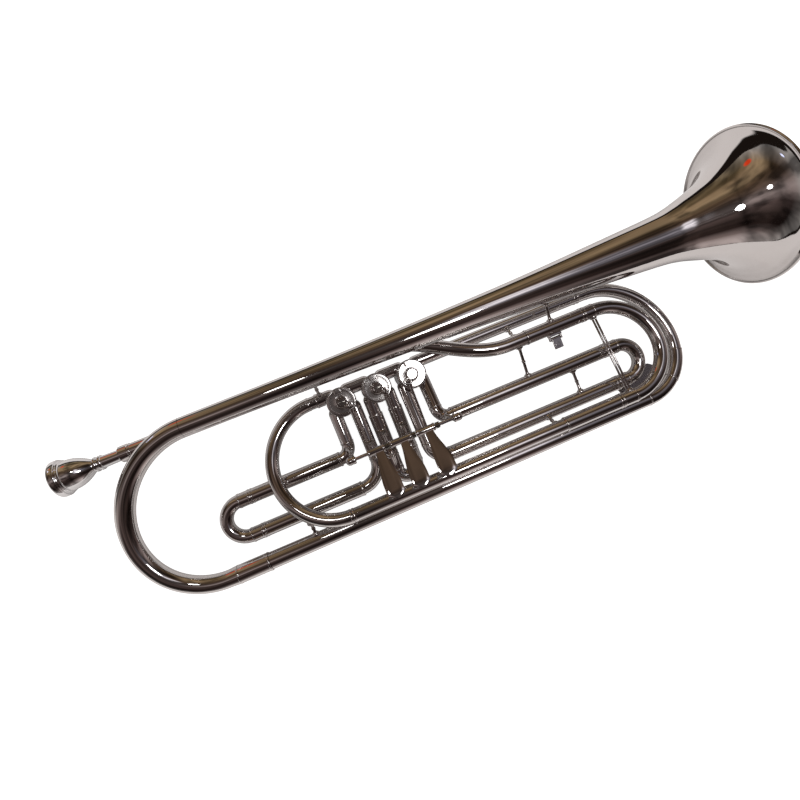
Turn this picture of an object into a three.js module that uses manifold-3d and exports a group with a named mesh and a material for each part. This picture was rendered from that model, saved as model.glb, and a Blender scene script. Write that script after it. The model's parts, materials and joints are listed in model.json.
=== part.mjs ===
// A three-valve rotary flugelhorn in the low B flat size, in millimetres.
// It is drawn in the horn's own axes: X runs towards the bell, Y towards the bell tube, and Z up on the
// lever side. X and Y are zero on the middle valve, and Z is zero on the bell's axis. The last section
// lays the finished horn down on the bell rim and the tubing, as it lies on a table.

import * as THREE from 'three';
import { ConvexHull } from 'three/addons/math/ConvexHull.js';
import { mergeVertices } from 'three/addons/utils/BufferGeometryUtils.js';
import Module from 'manifold-3d';

const wasm = await Module();
wasm.setup();

// Fits: a seam is left between soldered or seated pieces, a running gap between moving ones.
const seam = 0.3;
const runningGap = 0.3;
const overrun = 6;

// Tubing: the air runs in a bore of 11.6 mm, and each slide's inner legs run in wider sleeves.
const boreRadius = 5.8;
const tubeWall = 0.5;
const tubeRadius = boreRadius + tubeWall;
const sleeveWall = 0.45;
const sleeveBore = tubeRadius + runningGap;
const sleeveRadius = sleeveBore + sleeveWall;
const bowRadius = tubeRadius + 0.5 * tubeWall;
const leadCurveRadius = tubeRadius + tubeWall;
const ferruleWall = 0.7;
const socketLength = 4;

// Valves
const valveSpacing = 36;
const valveShift = 1.2;
const casingRadius = 14.3;
const casingWall = 1.1;
const casingHalfHeight = 15;
const casingTopWall = 2.2;
const portOffset = casingRadius * Math.SQRT1_2;
const valveXs = [-1, 0, 1].map((place) => valveShift + place * valveSpacing);

// Rows across the horn, as Y
const bellRow = 32.5;
const leadpipeRow = 31;
const portRow = 9.5;
const tuningRow = -9.1;
const slideUpperRow = -51;
const slideLowerRow = -86;
const innerRow = -100;
const outerRow = -112;

// Bell tube and bell
const bellTailRadius = 9.4;
const bellThroatRadius = 12.5;
const bellRimRadius = 77.4;
const bellWall = 0.6;
const bellBead = 1.5;
const bellStartX = -173.5;
const bellRimX = 404.8;
const bellLean = 0.28;

// Levels, as Z: tubes that cross pass each other with a crossing gap.
const crossingGap = 0.7;
const leadpipeLevel = -(bellThroatRadius + leadCurveRadius + crossingGap);
const tuningLevel = -9.5;
const innerLevel = 2;
const outerLevel = -12;
const crossingShare = 0.5;
const crossingLevel = leadpipeLevel + crossingShare * (tuningLevel - leadpipeLevel);
const portLevel = crossingLevel - leadCurveRadius - tubeRadius - crossingGap;
const tuningSlideRise = innerLevel - tuningLevel;
const thirdLevel = tuningLevel + 0.6 * tuningSlideRise - sleeveRadius - bowRadius - 2 * crossingGap;

// Stations along the horn, as X
const leftBowX = -253.5;
const leftBowStartX = -189;
const dLoopX = -118.9;
const receiverX = -238.5;
const leadCurveStartX = 25;
const leadCurveEndX = 135;
const tuningSleeveX = 152;
const tuningSleeveEndX = 214;
const tuningBowStartX = 226.8;
const tuningBowEndX = 231;
const tuningBowX = 275;
const innerSleeveX = 154;
const outerBowStartX = 234;
const bowSocketLength = 12;
const outletEndX = outerBowStartX - bowSocketLength;
const outerBowEndX = 251;
const outerBowX = 298;
const firstSleeveEndX = -148;
const firstBowX = -178.6;
const thirdSleeveEndX = 227;
const thirdBowX = 257.9;

// Slide tubes
const upperElbow = 11;
const firstLowerElbow = 22;
const thirdLowerElbow = 16;
const ferruleLength = 9;
const legLength = 62;
const secondSleeveEndY = -66;
const secondBowY = -93;
const secondBowDrop = 5.5;
const secondLegLength = 38;

// Wide tubes of the outer loop
const outerBowRadius = 6.6;
const lowerTubeRadius = 8.1;
const lowerFerruleRadius = 9.2;
const lowerFerruleX = -150;
const wideWall = 0.6;

// Mouthpiece and receiver
const mouthpieceRimRadius = 17.2;
const mouthpieceLength = 76;
const shankDepth = 16.6;
const mouthpieceRimX = receiverX + shankDepth - mouthpieceLength;
const shankRadius = 4.9;
const shankBore = 3.2;
const receiverRadius = 7;
const receiverLength = 40;
const leadpipeBore = 4.4;

// Levers
const axleY = -51.5;
const axleLevel = 13;
const axleRadius = 1.6;
const axleStartX = -48.4;
const axleEndX = 60;
const knobRadius = 3.5;
const knobWidth = 2.4;
const bracketWidth = 3.6;
const bracketRadius = 4;
const bracketPostRadius = 1.6;
const barrelRadius = 3.3;
const barrelBreakXs = [-30.5, -9, 17, 40.5];
const touchXs = [-19.8, 4.4, 30.6];
const touchReach = 44;
const touchRise = 15;
const touchWidth = 16.6;
const touchNeckWidth = 7;
const touchThickness = 1.5;
const leverSwing = 22;

// Linkage
const stopArmReach = 7.1;
const stopArmThickness = 3;
const linkPinRadius = 1;
const linkRadius = 1.2;
const linkEyeRadius = 3.4;
const linkPinEyeRadius = 2.3;
const linkEyeBore = 2.5;
const linkEyeThickness = 2.4;
const linkLift = 1.8;
const dropArmWidth = 5;
const dropArmThickness = 2;

// Braces
const braceRadius = 1.5;
const braceFootRadius = 3.6;
const braceFootHeight = 1.2;

// Facets
const tubeSides = 10;
const rodSides = 8;
const casingSides = 20;
const bellSides = 32;
const elbowSteps = 4;
const bowSteps = 8;
const wideBowSteps = 12;

const nickel = { color: 0xd9d6d0, roughness: 0.12, metalness: 1 };
const brightNickel = { color: 0xefedea, roughness: 0.1, metalness: 1 };
const brass = { color: 0xc9a24f, roughness: 0.3, metalness: 1 };

const axisX = new THREE.Vector3(1, 0, 0);
const axisY = new THREE.Vector3(0, 1, 0);
const axisZ = new THREE.Vector3(0, 0, 1);
const point = (x, y, z) => new THREE.Vector3(x, y, z);
const between = (start, end, share) => THREE.MathUtils.lerp(start, end, share);
const radians = THREE.MathUtils.degToRad;

// Solids: a closed geometry becomes a solid, and the solid becomes a geometry again.
const weld = 1e-4;
const finest = 0.05;

function solidOf(geometry) {
  const bare = new THREE.BufferGeometry();
  const open = geometry.index ? geometry.toNonIndexed() : geometry;
  bare.setAttribute('position', open.getAttribute('position'));
  const merged = mergeVertices(bare, weld);
  const vertProperties = merged.attributes.position.array;
  const triVerts = new Uint32Array(merged.index.array);
  return new wasm.Manifold(new wasm.Mesh({ numProp: 3, vertProperties, triVerts }));
}

function geometryOf(solid) {
  const { vertProperties, triVerts, numProp } = solid.getMesh();
  const positions = new Float32Array(3 * triVerts.length);
  triVerts.forEach((vertex, i) => {
    for (let k = 0; k < 3; k++) positions[3 * i + k] = vertProperties[numProp * vertex + k];
  });
  const geometry = new THREE.BufferGeometry();
  geometry.setAttribute('position', new THREE.BufferAttribute(positions, 3));
  geometry.computeVertexNormals();
  return geometry;
}

const joined = (...parts) => parts.map(solidOf).reduce((whole, part) => whole.add(part));
const cut = (solid, ...tools) => tools.reduce((left, tool) => left.subtract(solidOf(tool)), solid);
const largest = (solid) =>
  solid.decompose().reduce((most, part) => (part.volume() > most.volume() ? part : most));

// A box between two corners
function box(low, high) {
  const size = high.clone().sub(low);
  const middle = low.clone().add(high).divideScalar(2);
  return new THREE.BoxGeometry(size.x, size.y, size.z).translate(middle.x, middle.y, middle.z);
}

// A turned piece: its profile holds [radius, height] pairs and closes on itself.
function turned(profile, sides) {
  const points = profile.map(([radius, height]) => new THREE.Vector2(radius, height));
  if (THREE.ShapeUtils.area(points) < 0) points.reverse();
  points.push(points[0].clone());
  return new THREE.LatheGeometry(points, sides);
}
const standing = (geometry, x, y, z) => geometry.rotateX(Math.PI / 2).translate(x, y, z);
const lying = (geometry, x, y, z) => geometry.rotateZ(-Math.PI / 2).translate(x, y, z);

// Runs of stations: each station is a point on a tube's centre line with the direction of the line there.
function straight(from, to) {
  const along = to.clone().sub(from).normalize();
  return [{ at: from, along }, { at: to, along }];
}

function turn(centre, fromArm, toArm, angle, steps) {
  const stations = [];
  for (let i = 0; i <= steps; i++) {
    const t = (angle * i) / steps;
    const at = centre.clone().addScaledVector(fromArm, Math.cos(t)).addScaledVector(toArm, Math.sin(t));
    const along = toArm.clone().multiplyScalar(Math.cos(t)).addScaledVector(fromArm, -Math.sin(t));
    stations.push({ at, along: along.normalize() });
  }
  return stations;
}

function elbow(from, corner, to, steps = elbowSteps) {
  const centre = from.clone().add(to).sub(corner);
  return turn(centre, from.clone().sub(centre), to.clone().sub(centre), Math.PI / 2, steps);
}

// A bow between two ends that face the same way; its crown reaches out to the given X.
function bow(from, to, crownX, steps = bowSteps) {
  const centre = from.clone().add(to).divideScalar(2);
  const reach = point(crownX - centre.x, 0, 0);
  return turn(centre, from.clone().sub(centre), reach, Math.PI, steps);
}

// A tube of one or more sections, each with its run, outer radius and bore. A radius may be a pair, from
// the section's start to its end, and a bore of zero makes a rod.
function tube(sections, sides = tubeSides) {
  const rings = sections.flatMap(ringsOf).filter((ring, i, all) => i === 0 || !sameRing(ring, all[i - 1]));
  const hollow = rings.every((ring) => ring.bore > 0);
  const soup = [];
  const quad = (a, b, c, d) => soup.push(a, b, c, a, c, d);
  rings.forEach((ring) => {
    ring.outside = circle(ring, ring.outer, sides);
    ring.inside = circle(ring, hollow ? ring.bore : 0, sides);
  });
  for (let k = 0; k < sides; k++) {
    const n = (k + 1) % sides;
    for (let i = 1; i < rings.length; i++) {
      const [a, b] = [rings[i - 1], rings[i]];
      const moved = a.at.distanceTo(b.at) > weld;
      if (moved || !near(a.outer, b.outer)) quad(a.outside[k], b.outside[k], b.outside[n], a.outside[n]);
      if (hollow && (moved || !near(a.bore, b.bore))) quad(a.inside[n], b.inside[n], b.inside[k], a.inside[k]);
    }
    const [first, last] = [rings[0], rings.at(-1)];
    if (hollow) {
      quad(first.outside[k], first.outside[n], first.inside[n], first.inside[k]);
      quad(last.inside[k], last.inside[n], last.outside[n], last.outside[k]);
    } else {
      soup.push(first.outside[k], first.outside[n], first.inside[0]);
      soup.push(last.inside[0], last.outside[n], last.outside[k]);
    }
  }
  return new THREE.BufferGeometry().setFromPoints(soup);
}

function ringsOf({ run, outer, bore = 0 }) {
  const lengths = run.map((station, i) => (i ? station.at.distanceTo(run[i - 1].at) : 0));
  const whole = lengths.reduce((sum, length) => sum + length, 0);
  const sizeAt = (size, share) => (Array.isArray(size) ? between(size[0], size[1], share) : size);
  let passed = 0;
  return run.map((station, i) => {
    passed += lengths[i];
    const share = passed / whole;
    return { ...station, outer: sizeAt(outer, share), bore: sizeAt(bore, share) };
  });
}

const near = (a, b) => Math.abs(a - b) < weld;
const sameRing = (a, b) => a.at.distanceTo(b.at) < weld && near(a.outer, b.outer) && near(a.bore, b.bore);

function circle({ at, along }, radius, sides) {
  const lift = Math.abs(along.z) > Math.SQRT1_2 ? axisX : axisZ;
  const side = along.clone().cross(lift).normalize();
  const up = side.clone().cross(along);
  return Array.from({ length: sides }, (_, k) => {
    const angle = (2 * Math.PI * k) / sides;
    const [right, rise] = [radius * Math.cos(angle), radius * Math.sin(angle)];
    return at.clone().addScaledVector(side, right).addScaledVector(up, rise);
  });
}

// A sleeve is soldered over the end of its tube by a short socket, and takes a slide's leg beyond that.
function sleeve(from, to) {
  const socket = from.clone().addScaledVector(to.clone().sub(from).normalize(), socketLength);
  return [
    { run: straight(from, socket), outer: sleeveRadius, bore: boreRadius },
    { run: straight(socket, to), outer: sleeveRadius, bore: sleeveBore },
  ];
}

const rod = (from, to, radius, sides = rodSides) => tube([{ run: straight(from, to), outer: radius }], sides);

// The space that a tube of this radius takes along X, with its seam: a seat is cut with it.
const seat = (middle, radius, sides, reach = braceFootRadius + overrun) =>
  rod(middle.clone().setX(middle.x - reach), middle.clone().setX(middle.x + reach), radius + seam, sides);

// The whole part
const horn = new THREE.Group();

function add(name, shape, look = nickel) {
  const geometry = shape.isBufferGeometry ? geometryOf(solidOf(shape)) : geometryOf(shape);
  const mesh = new THREE.Mesh(geometry, new THREE.MeshStandardMaterial(look));
  mesh.name = name;
  horn.add(mesh);
  return mesh;
}

// Bell: a tail tube that widens slowly, then the flare and a bead round its rim. Shares run from the tail
// to the rim: the first of the length, the second of the growth in radius. It leans a little to the tubing.
const bellShares = [
  [0, 0], [0.17, 0.009], [0.327, 0.032], [0.457, 0.062], [0.594, 0.105], [0.747, 0.18], [0.831, 0.224],
  [0.864, 0.265], [0.888, 0.319], [0.914, 0.387], [0.94, 0.468], [0.962, 0.577], [0.98, 0.707], [0.9915, 0.84],
  [0.998, 0.955],
];

function bellProfile() {
  const length = bellRimX - bellStartX;
  const growth = bellRimRadius - bellBead - bellTailRadius;
  const beadHeight = length - bellBead;
  const outside = bellShares.map(([along, out]) => [bellTailRadius + out * growth, along * beadHeight]);
  const inside = outside.map(([radius, height], i) => {
    const before = outside[Math.max(i - 1, 0)];
    const after = outside[Math.min(i + 1, outside.length - 1)];
    const slope = Math.hypot(after[0] - before[0], after[1] - before[1]);
    const inward = (after[1] - before[1]) / slope;
    const forward = (after[0] - before[0]) / slope;
    return [radius - bellWall * inward, height + bellWall * forward];
  });
  inside[0][1] = 0;
  const beadTop = bellRimRadius - 2 * bellBead;
  const bead = [
    [beadTop, length - 2 * bellBead],
    [bellRimRadius - bellBead, length - 2 * bellBead - bellWall],
    [bellRimRadius, length - bellBead],
    [bellRimRadius - 0.5 * bellBead, length],
    [beadTop, length],
  ];
  return [...outside, ...bead, ...inside.reverse()];
}
const bellAt = (x) => point(x, bellRow - (x - bellStartX) * Math.tan(radians(bellLean)), 0);
add('bell', lying(turned(bellProfile(), bellSides), seam, 0, 0)
  .rotateZ(radians(-bellLean))
  .translate(bellStartX, bellRow, 0));

// The outer loop, from the third valve out to the bell
const lastValveX = valveXs[2];
const outletStart = point(lastValveX + portOffset - boreRadius, portRow, portLevel);
const outletEnd = point(outletEndX, portRow, portLevel);
const outerBowStart = point(outerBowStartX, portRow, portLevel);
const outerBowEnd = point(outerBowEndX, outerRow, outerLevel);
const leftBowBottom = point(leftBowStartX, outerRow, outerLevel);
const leftBowTop = point(bellStartX, bellRow, 0);
const lowerFerruleStart = point(lowerFerruleX, outerRow, outerLevel);

add('outer_bow', tube([
  {
    run: straight(point(outletEndX + seam, portRow, portLevel), outerBowStart),
    outer: tubeRadius,
    bore: boreRadius,
  },
  {
    run: bow(outerBowStart, outerBowEnd, outerBowX, wideBowSteps),
    outer: [outerBowRadius, outerBowRadius + wideWall],
    bore: [boreRadius, outerBowRadius],
  },
]));
add('lower_outer_tube', tube([{
  run: straight(point(outerBowEnd.x - seam, outerRow, outerLevel), lowerFerruleStart),
  outer: [outerBowRadius + wideWall, lowerTubeRadius],
  bore: [outerBowRadius, lowerTubeRadius - wideWall],
}]));
add('left_bow', tube([
  {
    run: straight(point(lowerFerruleX - seam, outerRow, outerLevel), leftBowBottom),
    outer: lowerFerruleRadius,
    bore: lowerTubeRadius - wideWall,
  },
  {
    run: bow(leftBowBottom, leftBowTop, leftBowX, wideBowSteps),
    outer: [lowerTubeRadius, bellTailRadius],
    bore: [lowerTubeRadius - wideWall, bellTailRadius - wideWall],
  },
]));

// Mouthpiece: rim, cup, neck rings and shank. Shares are of the rim's radius: the first across, and the
// second along from the rim.
const mouthpieceOutside = [
  [0.9, 0], [1, 0.12], [1, 0.4], [0.93, 0.46], [0.93, 0.56], [0.84, 0.62], [0.83, 0.9], [0.76, 1.25], [0.62, 1.67],
  [0.36, 1.95], [0.31, 2.06], [0.4, 2.08], [0.4, 2.22], [0.33, 2.24], [0.33, 2.34], [0.4, 2.36], [0.4, 2.5],
  [0.33, 2.52],
];
const mouthpieceCup = [[0.2, 1.3], [0.48, 1], [0.68, 0.45], [0.76, 0]];
function mouthpiece() {
  const sized = ([across, along]) => [across * mouthpieceRimRadius, along * mouthpieceRimRadius];
  return turned([
    ...mouthpieceOutside.map(sized), [shankRadius, mouthpieceLength], [shankBore, mouthpieceLength],
    ...mouthpieceCup.map(sized),
  ], casingSides);
}
add('mouthpiece', lying(mouthpiece(), mouthpieceRimX, leadpipeRow, leadpipeLevel), brightNickel);

// Leadpipe: the receiver takes the shank, and the pipe runs under the bell and out beside it
const shankEndX = mouthpieceRimX + mouthpieceLength;
const receiverBottomX = shankEndX + seam;
const receiverBore = shankRadius + tubeWall + seam;
const leadAt = (x) => point(x, leadpipeRow, leadpipeLevel);
const tuningAt = (x) => point(x, tuningRow, tuningLevel);
add('mouthpiece_receiver', tube([
  {
    run: straight(leadAt(receiverX), leadAt(receiverX + ferruleLength)),
    outer: receiverRadius + ferruleWall,
    bore: receiverBore,
  },
  {
    run: straight(leadAt(receiverX + ferruleLength), leadAt(receiverBottomX)),
    outer: receiverRadius,
    bore: receiverBore,
  },
  {
    run: straight(leadAt(receiverBottomX), leadAt(receiverX + receiverLength)),
    outer: receiverRadius,
    bore: shankBore,
  },
], casingSides));

const leadCurvePulls = [0.33, 0.6];
function leadCurve() {
  const start = leadAt(leadCurveStartX);
  const end = point(leadCurveEndX, tuningRow, tuningLevel);
  const startPull = point(between(start.x, end.x, leadCurvePulls[0]), start.y, start.z);
  const endPull = point(between(start.x, end.x, leadCurvePulls[1]), end.y, end.z);
  const curve = new THREE.CubicBezierCurve3(start, startPull, endPull, end);
  return Array.from({ length: bowSteps + 1 }, (_, i) => {
    const share = i / bowSteps;
    return { at: curve.getPoint(share), along: i % bowSteps ? curve.getTangent(share) : axisX.clone() };
  });
}
const leadStartX = receiverX + receiverLength + seam;
add('leadpipe', tube([
  {
    run: straight(leadAt(leadStartX), leadAt(leadCurveStartX)),
    outer: [shankRadius + tubeWall, tubeRadius - tubeWall],
    bore: [leadpipeBore, boreRadius - tubeWall],
  },
  { run: leadCurve(), outer: leadCurveRadius, bore: [boreRadius - tubeWall, boreRadius] },
  {
    run: straight(tuningAt(leadCurveEndX), tuningAt(tuningSleeveX)),
    outer: leadCurveRadius,
    bore: boreRadius,
  },
]));

// Main tuning slide: its sleeves are the upper one on the leadpipe and the end of the lower inner tube
const innerAt = (x) => point(x, innerRow, innerLevel);
const dLoopArm = 0.5 * (portRow - innerRow);
const dLoopTop = point(dLoopX + dLoopArm, portRow, portLevel);
const dLoopBottom = innerAt(dLoopX + dLoopArm);

add('tuning_sleeve_upper', tube([
  {
    run: straight(tuningAt(tuningSleeveX + seam), tuningAt(tuningSleeveEndX)),
    outer: sleeveRadius,
    bore: sleeveBore,
  },
]));
add('lower_inner_tube', tube([
  {
    run: straight(innerAt(dLoopBottom.x + seam), innerAt(innerSleeveX)),
    outer: tubeRadius,
    bore: boreRadius,
  },
  ...sleeve(innerAt(innerSleeveX), innerAt(tuningSleeveEndX)),
]));

// A slide's moving bow: two legs that run inside the sleeves, ferrules against the sleeve ends, and the bow.
function slideBow({ upper, lower, crownX, sleeveEndX, length, bendXs, steps }) {
  const way = Math.sign(crownX - sleeveEndX);
  const [upperX, lowerX] = bendXs ?? Array(2).fill(crownX - way * 0.5 * upper(0).distanceTo(lower(0)));
  const ferruleX = sleeveEndX + way * seam;
  const tipX = ferruleX - way * length;
  const leg = { outer: tubeRadius, bore: boreRadius };
  const ferrule = { outer: sleeveRadius, bore: boreRadius };
  return tube([
    { run: straight(upper(tipX), upper(ferruleX)), ...leg },
    { run: straight(upper(ferruleX), upper(upperX)), ...ferrule },
    { run: bow(upper(upperX), lower(lowerX), crownX, steps), outer: bowRadius, bore: boreRadius },
    { run: straight(lower(lowerX), lower(ferruleX)), ...ferrule },
    { run: straight(lower(ferruleX), lower(tipX)), ...leg },
  ]);
}
add('tuning_slide', slideBow({
  upper: tuningAt,
  lower: innerAt,
  crownX: tuningBowX,
  sleeveEndX: tuningSleeveEndX,
  length: legLength - ferruleLength,
  bendXs: [tuningBowStartX, tuningBowEndX],
  steps: wideBowSteps,
}));

// D loop: from the lower inner tube round the left and into the first valve
const firstValveX = valveXs[0];
const dLoopEndX = firstValveX - casingRadius - ferruleLength;
add('d_loop', tube([
  { run: bow(dLoopBottom, dLoopTop, dLoopX, wideBowSteps), outer: bowRadius, bore: boreRadius },
  { run: straight(dLoopTop, point(dLoopEndX, portRow, portLevel)), outer: tubeRadius, bore: boreRadius },
]));

// Valve casings: ports at the four corners, an end wall on top with the rotor's bearing and the stop block
const casingBore = casingRadius - casingWall;
const casingTop = portLevel + casingHalfHeight;
const casingBottom = portLevel - casingHalfHeight;
const rotorRadius = casingBore - runningGap;
const rotorTop = casingTop - casingTopWall - runningGap;
const rotorBottom = casingBottom + casingWall;
const stemRadius = 3;
const passageRadius = 4.9;
const stopBlockHeight = 5;
const stopBlockWidth = 7;
const capHeight = 4;
const corners = [[1, 1], [-1, 1], [-1, -1], [1, -1]];
const cornerOf = (x, [sideX, sideY], radius) =>
  point(x + sideX * radius * Math.SQRT1_2, sideY * radius * Math.SQRT1_2, portLevel);

function casing(x) {
  const shell = turned([
    [casingBore, casingBottom], [casingRadius, casingBottom], [casingRadius, casingTop],
    [stemRadius + runningGap, casingTop], [stemRadius + runningGap, casingTop - casingTopWall],
    [casingBore, casingTop - casingTopWall],
  ], casingSides);
  const inner = stopArmReach + linkPinRadius + 1.5 * runningGap;
  const block = box(
    point(x - 0.5 * stopBlockWidth, inner, casingTop - casingTopWall),
    point(x + 0.5 * stopBlockWidth, casingBore, casingTop + stopBlockHeight),
  );
  const ports = corners.map((corner) =>
    rod(
      cornerOf(x, corner, rotorRadius - overrun),
      cornerOf(x, corner, casingRadius + overrun),
      passageRadius,
      tubeSides,
    ));
  return cut(joined(standing(shell, x, 0, 0), block), ...ports);
}

// Rotors: two curved passages, each between neighbouring corners, and a stem out of each end
function rotor(x) {
  const body = turned([
    [0, rotorBottom - capHeight + casingWall], [stemRadius, rotorBottom - capHeight + casingWall],
    [stemRadius, rotorBottom], [rotorRadius, rotorBottom], [rotorRadius, rotorTop], [stemRadius, rotorTop],
    [stemRadius, casingTop + runningGap], [0, casingTop + runningGap],
  ], casingSides);
  const passages = [[corners[1], corners[0]], [corners[3], corners[2]]].map(([inlet, outlet]) => {
    const [from, to] = [cornerOf(x, inlet, rotorRadius), cornerOf(x, outlet, rotorRadius)];
    const reach = overrun / rotorRadius;
    const middle = point(x, 0, portLevel);
    const before = from.clone().add(from.clone().sub(middle).multiplyScalar(reach));
    const after = to.clone().add(to.clone().sub(middle).multiplyScalar(reach));
    return tube([
      { run: straight(before, from), outer: passageRadius },
      { run: elbow(from, middle, to), outer: passageRadius },
      { run: straight(to, after), outer: passageRadius },
    ], rodSides);
  });
  return cut(solidOf(standing(body, x, 0, 0)), ...passages);
}

// Bottom caps: a bearing plate that closes the casing, with a raised boss
function bottomCap(x) {
  const top = casingBottom - seam;
  const bearing = stemRadius + runningGap;
  const cap = turned([
    [bearing, top], [casingRadius, top], [casingRadius, top - 0.6 * capHeight],
    [0.75 * casingRadius, top - capHeight], [0, top - capHeight], [0, top - 0.7 * capHeight],
    [bearing, top - 0.7 * capHeight],
  ], casingSides);
  return standing(cap, x, 0, 0);
}

// Stop arms: a hub on the stem with its screw, and an arm out to the ball pin of the connecting rod.
// The first two valves turn one way and the third the other, so its arm points to the other side.
const armSides = [1, 1, -1];
const hubBottom = casingTop + 2 * runningGap;
const hubTop = hubBottom + stopArmThickness;
const linkLevel = hubTop + 0.5 * linkEyeThickness + linkLift;
const pinTop = linkLevel + linkEyeThickness;
const hubRadius = 4.6;
const screwRadius = 3.4;
const screwHeight = 1;
const slotWidth = 0.9;
const pinX = (i) => valveXs[i] + armSides[i] * stopArmReach * Math.SQRT1_2;
const pinY = -stopArmReach * Math.SQRT1_2;

function stopArm(i) {
  const x = valveXs[i];
  const hub = rod(point(x, 0, hubBottom), point(x, 0, hubTop), hubRadius, tubeSides);
  const pinFoot = point(pinX(i), pinY, hubBottom);
  const arm = rod(pinFoot, pinFoot.clone().setZ(hubTop), linkPinRadius + braceRadius);
  const pin = rod(point(pinX(i), pinY, hubTop - runningGap), point(pinX(i), pinY, pinTop), linkPinRadius);
  const web = box(point(0, -linkPinRadius, hubBottom), point(stopArmReach, linkPinRadius, hubTop - runningGap));
  web.rotateZ(Math.atan2(pinY, pinX(i) - x)).translate(x, 0, 0);
  const screwFoot = point(x, 0, hubTop - runningGap);
  const screw = rod(screwFoot, screwFoot.clone().setZ(hubTop + screwHeight), screwRadius, tubeSides);
  const slot = box(
    point(x - screwRadius - overrun, -0.5 * slotWidth, hubTop + 0.5 * screwHeight),
    point(x + screwRadius + overrun, 0.5 * slotWidth, hubTop + screwHeight + overrun),
  );
  return cut(joined(hub, arm, pin, web, screw), slot);
}

// A port stub stands square on a corner of the casing and meets the tube that runs off from there.
const stubEnd = casingRadius + 0.25 * tubeRadius;
const stub = (x, corner, radius, start) =>
  rod(cornerOf(x, corner, start), cornerOf(x, corner, stubEnd), radius, tubeSides);
const casingSeat = (x) => rod(
  point(x, 0, casingBottom - overrun), point(x, 0, casingTop + overrun), casingRadius + seam, casingSides);

// The solid shape of some sections, grown by a margin
const filled = (sections, margin = 0) =>
  tube(sections.map((section) => ({ ...section, outer: section.outer + margin, bore: 0 })));

// The air space in some sections, carried past both of their ends
function airIn(sections) {
  const air = sections.map((section) => ({ ...section, outer: section.bore, bore: 0 }));
  const [first, last] = [air[0].run[0], air.at(-1).run.at(-1)];
  const before = first.at.clone().addScaledVector(first.along, -overrun);
  const after = last.at.clone().addScaledVector(last.along, overrun);
  return tube([
    { run: straight(before, first.at), outer: air[0].outer },
    ...air,
    { run: straight(last.at, after), outer: air.at(-1).outer },
  ]);
}

// A tube that leaves valves at the given corners: its outside is joined to the port stubs, then the air
// space and the casings' seats are cut. A sliver that the cuts leave loose is dropped.
function portTube(sections, ports) {
  const stubs = ports.map(({ x, corner }) => stub(x, corner, tubeRadius, 0.5 * casingRadius));
  const stubBores = ports.map(({ x, corner }) => stub(x, corner, boreRadius, 0));
  const seats = ports.map(({ x }) => casingSeat(x));
  const whole = cut(joined(filled(sections), ...stubs), airIn(sections), ...stubBores, ...seats);
  return largest(whole).simplify(finest);
}

const portStart = portOffset - 0.25 * tubeRadius;
const knuckle = portTube([{
  run: straight(
    point(firstValveX + portStart, portRow, portLevel),
    point(firstValveX + valveSpacing - portStart, portRow, portLevel),
  ),
  outer: tubeRadius,
  bore: boreRadius,
}], [{ x: firstValveX, corner: corners[0] }, { x: firstValveX + valveSpacing, corner: corners[1] }]);

valveXs.forEach((x, i) => {
  add(`valve_casing_${i + 1}`, casing(x));
  add(`valve_rotor_${i + 1}`, rotor(x), brass);
  add(`valve_bottom_cap_${i + 1}`, bottomCap(x));
  add(`stop_arm_${i + 1}`, stopArm(i));
});
add('valve_knuckle_1_2', knuckle);
add('valve_knuckle_2_3', knuckle.translate(valveSpacing, 0, 0));
add('inlet_ferrule', portTube([{
  run: straight(
    point(dLoopEndX + seam, portRow, portLevel),
    point(firstValveX - portStart, portRow, portLevel),
  ),
  outer: tubeRadius + ferruleWall,
  bore: boreRadius,
}], [{ x: firstValveX, corner: corners[1] }]));
add('outlet_tube', portTube([{
  run: straight(point(lastValveX + portStart, portRow, portLevel), outletEnd),
  outer: tubeRadius,
  bore: boreRadius,
}], [{ x: lastValveX, corner: corners[0] }]));

// Valve slide tubes: down from a casing corner, round an elbow and out as a sleeve along X
function slideSections({ valve, side, row, level, radius, way, endX }) {
  const x = valveXs[valve] + side * portOffset;
  const start = point(x, -portStart, portLevel);
  const corner = point(x, row, level);
  const bendStart = corner.clone().addScaledVector(start.clone().sub(corner).normalize(), radius);
  const bendEnd = corner.clone().addScaledVector(axisX, way * radius);
  return [
    { run: straight(start, bendStart), outer: tubeRadius, bore: boreRadius },
    { run: elbow(bendStart, corner, bendEnd), outer: tubeRadius, bore: boreRadius },
    ...sleeve(bendEnd, point(endX, row, level)),
  ];
}
const firstWay = { valve: 0, way: -1, level: portLevel, endX: firstSleeveEndX };
const thirdWay = { valve: 2, way: 1, level: thirdLevel, endX: thirdSleeveEndX };
const slideTubes = {
  first_slide_tube_upper: { ...firstWay, side: -1, row: slideUpperRow, radius: upperElbow },
  first_slide_tube_lower: { ...firstWay, side: 1, row: slideLowerRow, radius: firstLowerElbow },
  third_slide_tube_upper: { ...thirdWay, side: 1, row: slideUpperRow, radius: upperElbow },
  third_slide_tube_lower: { ...thirdWay, side: -1, row: slideLowerRow, radius: thirdLowerElbow },
};
for (const [name, plan] of Object.entries(slideTubes)) {
  add(name, portTube(slideSections(plan), [{ x: valveXs[plan.valve], corner: [plan.side, -1] }]));
}

const slideAt = (row, level) => (x) => point(x, row, level);
const sideSlide = (level, crownX, sleeveEndX) => slideBow({
  upper: slideAt(slideUpperRow, level),
  lower: slideAt(slideLowerRow, level),
  crownX,
  sleeveEndX,
  length: legLength,
  steps: bowSteps,
});
add('first_slide', sideSlide(portLevel, firstBowX, firstSleeveEndX));
add('third_slide', sideSlide(thirdLevel, thirdBowX, thirdSleeveEndX));

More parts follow.
